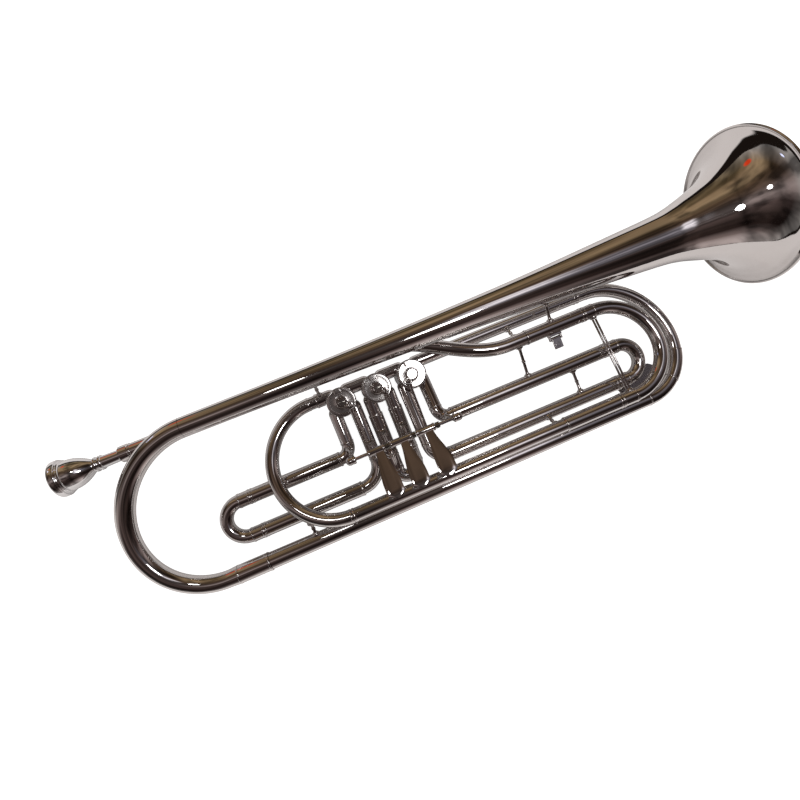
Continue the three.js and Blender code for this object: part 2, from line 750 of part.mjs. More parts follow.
// Second slide: straight down from the middle valve, sloping a little below the wide tubes
const middleX = valveXs[1];
const secondStart = point(0, -portStart, portLevel);
const secondEnd = point(0, secondBowY, portLevel - secondBowDrop);
const secondWay = secondEnd.clone().sub(secondStart).normalize();
const secondAt = (side, y) => secondStart.clone()
  .addScaledVector(secondWay, (y - secondStart.y) / secondWay.y)
  .setX(middleX + side * portOffset);
const secondTubeEndY = -casingRadius - ferruleLength;

function secondSlideTube(side) {
  return portTube([
    {
      run: straight(secondAt(side, -portStart), secondAt(side, secondTubeEndY)),
      outer: tubeRadius,
      bore: boreRadius,
    },
    ...sleeve(secondAt(side, secondTubeEndY), secondAt(side, secondSleeveEndY)),
  ], [{ x: middleX, corner: [side, -1] }]);
}

function secondSlide() {
  const ferruleY = secondSleeveEndY - seam;
  const bendY = secondBowY + portOffset;
  const tipY = ferruleY + secondLegLength;
  const leg = { outer: tubeRadius, bore: boreRadius };
  const ferrule = { outer: sleeveRadius, bore: boreRadius };
  const centre = secondAt(0, bendY).setX(middleX);
  const arm = point(-portOffset, 0, 0);
  const out = secondWay.clone().multiplyScalar(portOffset);
  return tube([
    { run: straight(secondAt(-1, tipY), secondAt(-1, ferruleY)), ...leg },
    { run: straight(secondAt(-1, ferruleY), secondAt(-1, bendY)), ...ferrule },
    { run: turn(centre, arm, out, Math.PI, bowSteps), outer: bowRadius, bore: boreRadius },
    { run: straight(secondAt(1, bendY), secondAt(1, ferruleY)), ...ferrule },
    { run: straight(secondAt(1, ferruleY), secondAt(1, tipY)), ...leg },
  ]);
}
add('second_slide_tube_left', secondSlideTube(-1));
add('second_slide_tube_right', secondSlideTube(1));
add('second_slide', secondSlide());

// Levers: each has a hinge barrel on the axle, a touchpiece, and a drop arm down to its connecting rod
const axleAt = (x) => point(x, axleY, axleLevel);
const barrelBore = axleRadius + runningGap;
const dropArmLength = (stopArmReach * Math.SQRT1_2) / Math.sin(radians(0.5 * leverSwing));
const dropTip = point(
  0,
  axleY - dropArmLength * Math.sin(radians(0.5 * leverSwing)),
  axleLevel - dropArmLength * Math.cos(radians(0.5 * leverSwing)),
);
const linkPlay = 0.5 * stopArmReach * (1 - Math.SQRT1_2);
const linkX = (i) => pinX(i) + armSides[i] * linkPlay;
const springRadius = barrelRadius - 0.5 * runningGap;
const springLength = 5;
const sideGap = 0.5 * runningGap;

function touchpiece(x, barrelX) {
  const half = 0.5 * touchWidth;
  const neck = 0.5 * touchNeckWidth;
  const reach = Math.hypot(touchReach, touchRise);
  const corner = 0.35 * half;
  const outline = new THREE.Shape();
  outline.moveTo(barrelX - x - neck, 0);
  outline.lineTo(barrelX - x + neck, 0);
  outline.bezierCurveTo(barrelX - x + neck, 0.3 * reach, half, 0.45 * reach, half, 0.72 * reach);
  outline.lineTo(half, reach - corner);
  outline.quadraticCurveTo(half, reach, half - corner, reach);
  outline.lineTo(corner - half, reach);
  outline.quadraticCurveTo(-half, reach, -half, reach - corner);
  outline.lineTo(-half, 0.72 * reach);
  outline.bezierCurveTo(-half, 0.45 * reach, barrelX - x - neck, 0.3 * reach, barrelX - x - neck, 0);
  const plate = new THREE.ExtrudeGeometry(outline, {
    depth: touchThickness,
    bevelEnabled: false,
    curveSegments: elbowSteps,
  });
  plate.rotateX(Math.PI).rotateX(-Math.atan2(touchRise, touchReach));
  return plate.translate(x, axleY, axleLevel + 0.5 * barrelRadius);
}

function lever(i) {
  const [startX, endX] = [barrelBreakXs[i] + sideGap, barrelBreakXs[i + 1] - sideGap];
  const armX = linkX(i) + 0.5 * linkEyeThickness + runningGap;
  const barrel = rod(axleAt(startX), axleAt(endX - springLength), barrelRadius, tubeSides);
  const arm = box(
    point(armX, -0.5 * dropArmWidth, -dropArmLength), point(armX + dropArmThickness, 0.5 * dropArmWidth, 0),
  ).rotateX(radians(-0.5 * leverSwing)).translate(0, axleY, axleLevel);
  const tipAt = (x) => dropTip.clone().setX(x);
  const armEnd = rod(tipAt(armX), tipAt(armX + dropArmThickness), 0.5 * dropArmWidth, tubeSides);
  const pinEndX = linkX(i) - 0.5 * linkEyeThickness - linkPinRadius;
  const pin = rod(tipAt(pinEndX), tipAt(armX + 0.5 * dropArmThickness), linkPinRadius);
  const bore = rod(axleAt(startX - overrun), axleAt(endX + overrun), barrelBore, tubeSides);
  const plate = touchpiece(touchXs[i], between(startX, endX, 0.5));
  return cut(joined(barrel, plate, arm, armEnd, pin), bore);
}

// Return springs: closely wound round the axle beside each barrel, drawn as the sleeve that they fill
function leverSpring(i) {
  const endX = barrelBreakXs[i + 1] - sideGap;
  return tube([{
    run: straight(axleAt(endX - springLength + seam), axleAt(endX)),
    outer: springRadius,
    bore: barrelBore,
  }]);
}

// Connecting rods: an eye on the drop arm's pin, a shank, and an eye round the stop arm's ball pin
function link(i) {
  const x = linkX(i);
  const lower = dropTip.clone().setX(x);
  const upper = point(x, pinY, linkLevel);
  const halfEye = 0.5 * linkEyeThickness;
  const acrossLower = (reach) => [lower.clone().setX(x - reach), lower.clone().setX(x + reach)];
  const acrossUpper = (reach) => [upper.clone().setZ(linkLevel - reach), upper.clone().setZ(linkLevel + reach)];
  const lowerEye = rod(...acrossLower(halfEye), linkPinEyeRadius, tubeSides);
  const upperEye = rod(...acrossUpper(halfEye), linkEyeRadius, tubeSides);
  const shank = rod(lower, upper.clone().setY(pinY - linkEyeBore), linkRadius);
  const lowerBore = rod(...acrossLower(overrun), linkPinRadius + runningGap);
  const upperBore = rod(...acrossUpper(overrun), linkEyeBore, tubeSides);
  return cut(joined(lowerEye, upperEye, shank), lowerBore, upperBore);
}

valveXs.forEach((_, i) => {
  add(`lever_${i + 1}`, lever(i));
  add(`lever_spring_${i + 1}`, leverSpring(i), brass);
  add(`link_rod_${i + 1}`, link(i));
});

// The axle has a knob at each end, and runs in two brackets that stand on the elbows of the slide tubes.
add('lever_axle', tube([
  { run: straight(axleAt(axleStartX), axleAt(axleStartX + knobWidth)), outer: knobRadius },
  { run: straight(axleAt(axleStartX + knobWidth), axleAt(axleEndX - knobWidth)), outer: axleRadius },
  { run: straight(axleAt(axleEndX - knobWidth), axleAt(axleEndX)), outer: knobRadius },
]));

function bracket(x, plan, elbowStation) {
  const sections = slideSections(plan);
  const top = axleAt(x);
  const onTube = sections[1].run[elbowStation].at;
  const way = top.clone().sub(onTube).normalize();
  const footTop = onTube.clone().addScaledVector(way, tubeRadius + 2 * braceFootHeight);
  const [bossStart, bossEnd] = [axleAt(x - 0.5 * bracketWidth), axleAt(x + 0.5 * bracketWidth)];
  const boss = rod(bossStart, bossEnd, bracketRadius, tubeSides);
  const post = rod(onTube, top, bracketPostRadius);
  const foot = rod(onTube, footTop, braceFootRadius);
  const bore = rod(axleAt(x - overrun), axleAt(x + overrun), barrelBore, tubeSides);
  return cut(joined(boss, post, foot), bore, filled(sections, seam));
}
const bracketInset = knobWidth + seam + 0.5 * bracketWidth;
add('axle_bracket_left', bracket(axleStartX + bracketInset, slideTubes.first_slide_tube_upper, 1));
add('axle_bracket_right', bracket(axleEndX - bracketInset, slideTubes.third_slide_tube_upper, 2));

// Braces: a rod with a foot at each end. Each foot stands on a host, which gives a point on its centre
// line, its radius, and the seat that is cut for it.
function brace(from, to, stem = braceRadius) {
  const way = to.at.clone().sub(from.at).normalize();
  const reach = (host, share, margin, sign) =>
    host.at.clone().addScaledVector(way, sign * (share * host.radius + margin));
  const shape = tube([
    { run: straight(reach(from, 0.5, 0, 1), reach(from, 1, braceFootHeight, 1)), outer: braceFootRadius },
    { run: straight(reach(from, 1, braceFootHeight, 1), reach(to, 1, braceFootHeight, -1)), outer: stem },
    { run: straight(reach(to, 1, braceFootHeight, -1), reach(to, 0.5, 0, -1)), outer: braceFootRadius },
  ], rodSides);
  return cut(solidOf(shape), from.seat, to.seat);
}

const tubeHost = (at, radius) => ({ at, radius, seat: seat(at, radius, tubeSides) });

function bellHost(x) {
  const share = (x + braceFootRadius - bellStartX) / (bellRimX - bellStartX);
  const next = bellShares.findIndex(([along]) => along > share);
  const [low, high] = [bellShares[next - 1], bellShares[next]];
  const out = between(low[1], high[1], (share - low[0]) / (high[0] - low[0]));
  const radius = bellTailRadius + out * (bellRimRadius - bellBead - bellTailRadius);
  return { at: bellAt(x), radius, seat: seat(bellAt(x), radius, bellSides) };
}

// The host on the D loop is one of its stations. The loop slopes there, so the foot stands further out.
function loopHost(station) {
  const run = bow(dLoopBottom, dLoopTop, dLoopX, wideBowSteps);
  const slope = Math.abs(run[station].along.x);
  return { at: run[station].at, radius: bowRadius / slope, seat: filled([{ run, outer: bowRadius }], seam) };
}
const machineBraceX = -52;
const outletBraceX = 144;
const bellBraceX = 181.5;
const tubeBraceX = 189;
const thirdBraceX = 147;
const loopBraceStation = 3;
const outletHost = tubeHost(point(outletBraceX, portRow, portLevel), tubeRadius);
const leadHost = tubeHost(tuningAt(outletBraceX), leadCurveRadius);
const thirdHost = (x, row) => tubeHost(point(x, row, thirdLevel), sleeveRadius);
const loopHostPlace = loopHost(loopBraceStation);
const lowerTubeHost = tubeHost(point(loopHostPlace.at.x, outerRow, outerLevel), lowerTubeRadius);

add('brace_bell_machine', brace(
  bellHost(machineBraceX), tubeHost(point(machineBraceX, portRow, portLevel), tubeRadius + ferruleWall)));
add('brace_d_loop', brace(loopHostPlace, lowerTubeHost));
add('brace_bell_leadpipe', brace(bellHost(bellBraceX), tubeHost(tuningAt(bellBraceX), sleeveRadius)));
add('brace_outlet_leadpipe', brace(outletHost, leadHost));
add('brace_leadpipe_third', brace(leadHost, thirdHost(outletBraceX, slideUpperRow)));
add('brace_third_slide', brace(thirdHost(tubeBraceX, slideUpperRow), thirdHost(tubeBraceX, slideLowerRow)));
add('brace_third_lower', brace(
  thirdHost(thirdBraceX, slideLowerRow), tubeHost(innerAt(thirdBraceX), tubeRadius)));

// The tuning slide's own brace has two bars that lean between its ferrules, and it rides with the slide.
const tuningBraceShare = 0.76;
const tuningBraceBarRadius = 0.9;
const tuningBraceHalfWidth = 1.4;
const ferruleAt = (bendX) => between(tuningSleeveEndX, bendX, tuningBraceShare);
const tuningBraceBars = [-tuningBraceHalfWidth, tuningBraceHalfWidth].map((aside) => brace(
  tubeHost(tuningAt(ferruleAt(tuningBowStartX) + aside), sleeveRadius),
  tubeHost(innerAt(ferruleAt(tuningBowEndX) + aside), sleeveRadius),
  tuningBraceBarRadius));
add('tuning_slide_brace', tuningBraceBars[0].add(tuningBraceBars[1]));

// Water key: a saddle with two ears under the leadpipe's sleeve, and a sprung key between them
const waterKeyX = 181;
const waterKeyWidth = 13;
const earThickness = 1.6;
const keyPinRadius = 0.9;
const keyBarrelRadius = 2;
const keyReach = 10.5;
const keyThickness = 1.3;
const keyAxisY = tuningRow - sleeveRadius - 2 * keyBarrelRadius;
const keyAt = (aside) => point(waterKeyX + aside, keyAxisY, tuningLevel);

function waterKeySaddle() {
  const half = 0.5 * waterKeyWidth;
  const sleeveSide = tuningRow - sleeveRadius;
  const base = box(
    point(waterKeyX - half, sleeveSide - keyBarrelRadius + runningGap, tuningLevel - 0.5 * sleeveRadius),
    point(waterKeyX + half, tuningRow - 0.5 * sleeveRadius, tuningLevel + 0.5 * sleeveRadius),
  );
  const ears = [waterKeyX - half, waterKeyX + half - earThickness].map((startX) => box(
    point(startX, keyAxisY - keyBarrelRadius, tuningLevel - keyBarrelRadius),
    point(startX + earThickness, sleeveSide, tuningLevel + keyBarrelRadius),
  ));
  const hole = rod(keyAt(-waterKeyWidth), keyAt(waterKeyWidth), keyPinRadius + runningGap);
  return cut(joined(base, ...ears), hole, seat(tuningAt(waterKeyX), sleeveRadius, tubeSides, waterKeyWidth));
}

function waterKey() {
  const inside = 0.5 * waterKeyWidth - earThickness - runningGap;
  const barrel = rod(keyAt(-inside), keyAt(inside), keyBarrelRadius - runningGap);
  const pin = rod(keyAt(-0.5 * waterKeyWidth), keyAt(0.5 * waterKeyWidth), keyPinRadius);
  const plate = box(
    point(waterKeyX - inside, keyAxisY - keyReach, tuningLevel + runningGap),
    point(waterKeyX + inside, keyAxisY, tuningLevel + runningGap + keyThickness),
  );
  return joined(barrel, pin, plate);
}
add('water_key_saddle', waterKeySaddle());
add('water_key', waterKey());

// Guard plate: a flat plate under the third slide's bow, on two lugs under the outer bow
const guardThickness = 1.2;
const guardTop = thirdLevel - sleeveRadius - 2 * seam;
const guardCorners = [
  [228, -90], [258, -78], [271, -81.5], [275, -85], [284, -92], [285, -99], [266, -112], [238, -113],
];
const lugStations = [1, 3];

function guardPlate() {
  const outline = new THREE.Shape(guardCorners.map(([x, y]) => new THREE.Vector2(x, y)));
  const plate = new THREE.ExtrudeGeometry(outline, { depth: guardThickness, bevelEnabled: false });
  plate.translate(0, 0, guardTop - guardThickness);
  const run = bow(outerBowEnd, outerBowStart, outerBowX, wideBowSteps);
  const lugs = lugStations.map((station) => {
    const { at } = run[station];
    return rod(at.clone().setZ(guardTop - 0.5 * guardThickness), at, braceFootRadius);
  });
  return cut(joined(plate, ...lugs), filled([{ run, outer: outerBowRadius + wideWall }], seam));
}
add('bow_guard_plate', guardPlate());

// Lying down: the horn is turned so that the face of its hull under its centre of mass is level, and is
// then lowered onto the table with the middle of its footprint over the origin.
function weightOf(meshes) {
  const centre = point(0, 0, 0);
  let volume = 0;
  for (const { geometry } of meshes) {
    const corner = geometry.getAttribute('position');
    for (let i = 0; i < corner.count; i += 3) {
      const [a, b, c] = [0, 1, 2].map((k) => new THREE.Vector3().fromBufferAttribute(corner, i + k));
      const share = a.dot(b.clone().cross(c)) / 6;
      volume += share;
      centre.addScaledVector(a.add(b).add(c), share / 4);
    }
  }
  return centre.divideScalar(volume);
}

function restingNormal(hull, centre) {
  let best = axisZ.clone();
  for (const face of hull.faces) {
    const drop = centre.clone().addScaledVector(face.normal, -face.distanceToPoint(centre));
    const corners = [face.edge.head(), face.edge.next.head(), face.edge.prev.head()].map(({ point: at }) => at);
    const onFace = THREE.Triangle.containsPoint(drop, ...corners);
    if (onFace && face.normal.z < best.z) best = face.normal.clone();
  }
  return best;
}

const hull = new ConvexHull().setFromObject(horn);
const floorNormal = restingNormal(hull, weightOf(horn.children));
horn.quaternion.setFromUnitVectors(floorNormal, axisZ.clone().negate());
horn.updateMatrixWorld(true);
const footprint = new THREE.Box3().setFromObject(horn, true);
const footprintMiddle = footprint.getCenter(new THREE.Vector3());
horn.position.set(-footprintMiddle.x, -footprintMiddle.y, -footprint.min.z);

const flugelhorn = new THREE.Group();
flugelhorn.add(horn);
flugelhorn.updateMatrixWorld(true);

export default flugelhorn;
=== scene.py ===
"""The looks of a rotary flugelhorn: smooth plated tubing, valves, levers and the stage it lies on.

Every piece is drawn in millimetres in the horn's own axes: X runs towards the bell, Y towards the bell
tube, and Z up on the lever side. X and Y are zero on the middle valve, and Z is zero on the bell's axis.
A finished piece is then put in the frame that the horn lies in.
"""

import json
import math

import bmesh
import bpy
from bpy.props import FloatProperty, FloatVectorProperty, IntProperty, PointerProperty
from mathutils import Matrix, Vector


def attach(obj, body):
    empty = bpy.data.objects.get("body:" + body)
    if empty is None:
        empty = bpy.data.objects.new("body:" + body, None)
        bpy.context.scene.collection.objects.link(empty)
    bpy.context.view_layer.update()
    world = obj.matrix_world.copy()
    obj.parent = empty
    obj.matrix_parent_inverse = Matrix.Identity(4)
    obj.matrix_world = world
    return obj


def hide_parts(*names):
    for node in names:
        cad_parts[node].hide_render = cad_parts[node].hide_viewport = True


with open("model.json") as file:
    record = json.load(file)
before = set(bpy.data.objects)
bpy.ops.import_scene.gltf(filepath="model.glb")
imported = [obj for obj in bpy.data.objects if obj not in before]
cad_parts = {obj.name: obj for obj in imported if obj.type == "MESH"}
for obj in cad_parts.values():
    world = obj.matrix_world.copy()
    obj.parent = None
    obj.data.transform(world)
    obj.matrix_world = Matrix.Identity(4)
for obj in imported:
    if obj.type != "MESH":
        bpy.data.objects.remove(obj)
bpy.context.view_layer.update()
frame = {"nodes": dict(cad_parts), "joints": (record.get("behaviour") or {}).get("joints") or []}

bl_info = {
    "name": "Rotary flugelhorn",
    "version": (1, 0, 0),
    "blender": (4, 5, 0),
    "location": "View3D > Sidebar > Flugelhorn",
    "description": "Builds the visible pieces of a rotary-valve flugelhorn around its solid frame",
    "category": "Add Mesh",
}

# Fits and tubing
SEAM = 0.3
BORE = 5.8
TUBE_WALL = 0.5
TUBE = BORE + TUBE_WALL
SLEEVE_BORE = TUBE + SEAM
SLEEVE_WALL = 0.45
SLEEVE = SLEEVE_BORE + SLEEVE_WALL
BOW = TUBE + 0.5 * TUBE_WALL
LEAD_CURVE = TUBE + TUBE_WALL
FERRULE_WALL = 0.7
FERRULE_LENGTH = 9
SOCKET_LENGTH = 4
LEG_LENGTH = 62

# Valves
VALVE_SPACING = 36
VALVE_SHIFT = 1.2
VALVE_XS = [VALVE_SHIFT + place * VALVE_SPACING for place in (-1, 0, 1)]
CASING = 14.3
CASING_WALL = 1.1
CASING_HALF_HEIGHT = 15
CAP_HEIGHT = 4
PORT_OFFSET = CASING * math.sqrt(0.5)
PORT_START = PORT_OFFSET - 0.25 * TUBE

# Rows across the horn, and levels
BELL_ROW = 32.5
LEADPIPE_ROW = 31
PORT_ROW = 9.5
TUNING_ROW = -9.1
SLIDE_UPPER_ROW = -51
SLIDE_LOWER_ROW = -86
INNER_ROW = -100
OUTER_ROW = -112
LEADPIPE_LEVEL = -20
TUNING_LEVEL = -9.5
INNER_LEVEL = 2
OUTER_LEVEL = -12
PORT_LEVEL = -28.55
THIRD_LEVEL = -17.6
CASING_TOP = PORT_LEVEL + CASING_HALF_HEIGHT
CASING_BOTTOM = PORT_LEVEL - CASING_HALF_HEIGHT

# Bell
BELL_START_X = -173.5
BELL_RIM_X = 404.8
BELL_RIM = 77.4
BELL_TAIL = 9.4
BELL_WALL = 0.6
BELL_BEAD = 1.5
BELL_LEAN = math.radians(0.28)
BELL_SHARES = [
    (0, 0), (0.17, 0.009), (0.327, 0.032), (0.457, 0.062), (0.594, 0.105), (0.747, 0.18), (0.831, 0.224),
    (0.864, 0.265), (0.888, 0.319), (0.914, 0.387), (0.94, 0.468), (0.962, 0.577), (0.98, 0.707),
    (0.9915, 0.84), (0.998, 0.955),
]

# Stations along the horn, as X
LEFT_BOW_X = -253.5
LEFT_BOW_START_X = -189
D_LOOP_X = -118.9
RECEIVER_X = -238.5
RECEIVER_LENGTH = 40
LEAD_CURVE_START_X = 25
LEAD_CURVE_END_X = 135
LEAD_CURVE_PULLS = (0.33, 0.6)
TUNING_SLEEVE_X = 152
TUNING_SLEEVE_END_X = 214
TUNING_BOW_START_X = 226.8
TUNING_BOW_END_X = 231
TUNING_BOW_X = 275
INNER_SLEEVE_X = 154
OUTLET_END_X = 222
OUTER_BOW_START_X = 234
OUTER_BOW_END_X = 251
OUTER_BOW_X = 298
FIRST_SLEEVE_END_X = -148
FIRST_BOW_X = -178.6
THIRD_SLEEVE_END_X = 227
THIRD_BOW_X = 257.9
SECOND_SLEEVE_END_Y = -66
SECOND_BOW_Y = -93
SECOND_BOW_DROP = 5.5
SECOND_LEG_LENGTH = 38
UPPER_ELBOW = 11
FIRST_LOWER_ELBOW = 22
THIRD_LOWER_ELBOW = 16

# Wide tubes of the outer loop
OUTER_BOW = 6.6
WIDE_WALL = 0.6
LOWER_TUBE = 8.1
LOWER_FERRULE = 8.6
LOWER_FERRULE_X = -150

# Mouthpiece and receiver
MOUTHPIECE_X = -297.9
MOUTHPIECE_RIM = 17.2
MOUTHPIECE_LENGTH = 76
SHANK = 4.9
SHANK_BORE = 3.2
RECEIVER = 7

# Levers and linkage
AXLE_Y = -51.5
AXLE_LEVEL = 13
AXLE = 1.6
AXLE_START_X = -48.4
AXLE_END_X = 60
KNOB = 4
KNOB_WIDTH = 2.4
BARREL = 3.3
BARREL_BREAKS = (-30.5, -9, 17, 40.5)
BARREL_SPRING = 5
TOUCH_XS = (-19.8, 4.4, 30.6)
TOUCH_REACH = 44
TOUCH_RISE = 15
TOUCH_WIDTH = 16.6
TOUCH_NECK = 7
TOUCH_THICKNESS = 1.5
LEVER_SWING = math.radians(22)
STOP_ARM_REACH = 7.1
ARM_SIDES = (1, 1, -1)
ARM_PLACE = STOP_ARM_REACH * math.sqrt(0.5)
LINK_PLAY = 0.5 * STOP_ARM_REACH * (1 - math.sqrt(0.5))
LINK_EYE_THICKNESS = 2.4
LINK_EYE = 3.4
LINK_BORE = 2.5
LINK_LIFT = 1.8
HUB_BOTTOM = CASING_TOP + 2 * SEAM
HUB_TOP = HUB_BOTTOM + 3
LINK_LEVEL = HUB_TOP + 0.5 * LINK_EYE_THICKNESS + LINK_LIFT
DROP_ARM = ARM_PLACE / math.sin(0.5 * LEVER_SWING)
DROP_TIP_Y = AXLE_Y - DROP_ARM * math.sin(0.5 * LEVER_SWING)
DROP_TIP_Z = AXLE_LEVEL - DROP_ARM * math.cos(0.5 * LEVER_SWING)

X_AXIS = Vector((1, 0, 0))
Y_AXIS = Vector((0, 1, 0))
Z_AXIS = Vector((0, 0, 1))


def joint(name):
    """The frame's own joint of this name."""
    return next(found for found in frame["joints"] if found["name"] == name)


def horn_frame():
    """From the horn's axes in millimetres to the frame it lies in, read from the way its joints run."""
    along = Vector(joint("tuning_slide_pull")["axis"])
    up = Vector(joint("rotor_1_turn")["axis"])
    across = up.cross(along)
    turn = Matrix((along, across, up)).transposed().to_4x4()
    millimetres = Matrix.Scale(0.001, 4)
    valve = Vector((VALVE_XS[1], 0, PORT_LEVEL))
    place = Vector(joint("rotor_2_turn")["pos_m"]) - turn.to_3x3() @ valve * 0.001
    return Matrix.Translation(place) @ turn @ millimetres


HORN = horn_frame()


# Materials
def linear(hex_colour):
    """An sRGB hex colour as linear red, green, blue and full alpha."""
    parts = [int(hex_colour[i : i + 2], 16) / 255 for i in (1, 3, 5)]
    return [c / 12.92 if c <= 0.04045 else ((c + 0.055) / 1.055) ** 2.4 for c in parts] + [1]


def add_node(tree, kind, inputs=None, **settings):
    """Adds one node. An input is a value, or a link from another node's output socket."""
    made = tree.nodes.new(kind)
    for name, value in settings.items():
        setattr(made, name, value)
    for name, value in (inputs or {}).items():
        if isinstance(value, bpy.types.NodeSocket):
            tree.links.new(value, made.inputs[name])
        else:
            made.inputs[name].default_value = value
    return made


def blank_material(name):
    """A material with nothing but its output node."""
    made = bpy.data.materials.new(name)
    made.use_nodes = True
    made.node_tree.nodes.clear()
    return made, made.node_tree, made.node_tree.nodes.new("ShaderNodeOutputMaterial")


def plated_metal(name, clean, worn, smoothest, roughest, ripple):
    """A polished metal: its colour drifts towards a worn tone, and handling leaves some patches duller.

    The plating follows a hand-buffed tube, so mirror images in it waver a little: the ripple is broad,
    and fine hairlines from the buff lie over it.
    """
    made, tree, output = blank_material(name)
    place = add_node(tree, "ShaderNodeTexCoord").outputs["Object"]
    haze = add_node(tree, "ShaderNodeTexNoise", {"Vector": place, "Scale": 34, "Detail": 5, "Roughness": 0.6})
    tint = add_node(tree, "ShaderNodeMix", data_type="RGBA")
    tree.links.new(haze.outputs["Fac"], tint.inputs["Factor"])
    tint.inputs["A"].default_value = linear(clean)
    tint.inputs["B"].default_value = linear(worn)
    dull = add_node(tree, "ShaderNodeMapRange", {
        "Value": haze.outputs["Fac"], "From Min": 0.42, "From Max": 0.7,
        "To Min": smoothest, "To Max": roughest,
    })
    broad = add_node(tree, "ShaderNodeTexNoise", {"Vector": place, "Scale": 70, "Detail": 1})
    stretch = add_node(tree, "ShaderNodeMapping", {"Vector": place, "Scale": (220, 1900, 1900)})
    hairline = add_node(tree, "ShaderNodeTexNoise", {"Vector": stretch.outputs["Vector"], "Scale": 1})
    waver = add_node(tree, "ShaderNodeBump", {
        "Height": broad.outputs["Fac"], "Strength": ripple, "Distance": 0.001,
    })
    buffed = add_node(tree, "ShaderNodeBump", {
        "Height": hairline.outputs["Fac"], "Strength": 0.02, "Distance": 0.0002,
        "Normal": waver.outputs["Normal"],
    })
    add_node(tree, "ShaderNodeBsdfPrincipled")
    surface = tree.nodes[-1]
    surface.inputs["Metallic"].default_value = 1
    tree.links.new(tint.outputs["Result"], surface.inputs["Base Color"])
    tree.links.new(dull.outputs["Result"], surface.inputs["Roughness"])
    tree.links.new(buffed.outputs["Normal"], surface.inputs["Normal"])
    tree.links.new(surface.outputs["BSDF"], output.inputs["Surface"])
    return made


def cork(name):
    """Pressed cork: fine dark specks about a millimetre across in a dry tan ground."""
    made, tree, output = blank_material(name)
    place = add_node(tree, "ShaderNodeTexCoord").outputs["Object"]
    grain = add_node(tree, "ShaderNodeTexVoronoi", {"Vector": place, "Scale": 900})
    ramp = add_node(tree, "ShaderNodeValToRGB", {"Fac": grain.outputs["Distance"]})
    ramp.color_ramp.elements[0].color = linear("#7a5632")
    ramp.color_ramp.elements[1].color = linear("#c79d6b")
    pits = add_node(tree, "ShaderNodeBump", {"Height": grain.outputs["Distance"], "Strength": 0.4,
                                             "Distance": 0.0003})
    surface = add_node(tree, "ShaderNodeBsdfPrincipled", {
        "Base Color": ramp.outputs["Color"], "Roughness": 0.85, "Normal": pits.outputs["Normal"],
    })
    tree.links.new(surface.outputs["BSDF"], output.inputs["Surface"])
    return made


class FinishColours(bpy.types.PropertyGroup):
    """Colours of the horn's metals."""

    plate: FloatVectorProperty(
        name="Nickel plate", description="Colour of the polished nickel plating", subtype="COLOR",
        size=4, default=linear("#dcd8d3"), min=0, max=1)
    worn_plate: FloatVectorProperty(
        name="Handled plate", description="Colour that the plating drifts to where hands go", subtype="COLOR",
        size=4, default=linear("#c2b8a6"), min=0, max=1)


def materials():
    """The horn's materials by name, made once."""
    if not bpy.data.materials.get("polished_nickel_plate"):
        plated_metal("polished_nickel_plate", "#dddad9", "#d3cecb", 0.03, 0.07, 0.04)
        plated_metal("polished_silver_plate", "#ededee", "#dcdad8", 0.03, 0.06, 0.03)
        plated_metal("satin_nickel_plate", "#dedbda", "#d0cbc8", 0.12, 0.2, 0.03)
        plated_metal("lapped_brass", "#c79f56", "#9d7a3c", 0.12, 0.28, 0.04)
        plated_metal("wound_spring_steel", "#b9b7b2", "#8f8a80", 0.15, 0.3, 0.02)
        cork("pressed_cork")
    return bpy.data.materials


# Shapes: each adds to a bmesh in the horn's millimetres.
def new_verts(bm, before):
    return [vert for vert in bm.verts if vert not in before]


def ring(bm, at, along, radius, sides):
    """One ring of vertices round a tube's centre line."""
    lift = X_AXIS if abs(along.z) > math.sqrt(0.5) else Z_AXIS
    side = along.cross(lift).normalized()
    turn = Matrix((side, side.cross(along), along)).transposed().to_4x4()
    made = bmesh.ops.create_circle(bm, segments=sides, radius=radius, matrix=Matrix.Translation(at) @ turn)
    return list({edge for vert in made["verts"] for edge in vert.link_edges})


def straight(start, end):
    start, end = Vector(start), Vector(end)
    along = (end - start).normalized()
    return [(start, along), (end, along)]


def turn(centre, from_arm, to_arm, angle, steps):
    """Stations round part of an ellipse, from one arm towards the other."""
    stations = []
    for i in range(steps + 1):
        t = angle * i / steps
        at = centre + from_arm * math.cos(t) + to_arm * math.sin(t)
        along = to_arm * math.cos(t) - from_arm * math.sin(t)
        stations.append((at, along.normalized()))
    return stations


def elbow(start, corner, end, steps=14):
    centre = start + end - corner
    return turn(centre, start - centre, end - centre, 0.5 * math.pi, steps)


def bow(start, end, crown_x, steps=48):
    """Stations round a bow between two ends that face the same way."""
    start, end = Vector(start), Vector(end)
    centre = 0.5 * (start + end)
    return turn(centre, start - centre, Vector((crown_x - centre.x, 0, 0)), math.pi, steps)


def size_at(size, share):
    """A size that stays the same, or runs from the first of a pair to the second."""
    return size if not isinstance(size, tuple) else size[0] + (size[1] - size[0]) * share


def rings_of(sections):
    """Every ring of a tube as place, direction, outer radius and bore radius."""
    rings = []
    for run, outer, bore in sections:
        passed = [0]
        for (before, _), (after, _) in zip(run, run[1:]):
            passed.append(passed[-1] + (after - before).length)
        for (at, along), far in zip(run, passed):
            share = far / passed[-1]
            made = (at, along, size_at(outer, share), size_at(bore, share))
            if rings:
                same_place = (rings[-1][0] - at).length < 1e-4
                if same_place and abs(rings[-1][2] - made[2]) + abs(rings[-1][3] - made[3]) < 1e-4:
                    continue
            rings.append(made)
    return rings


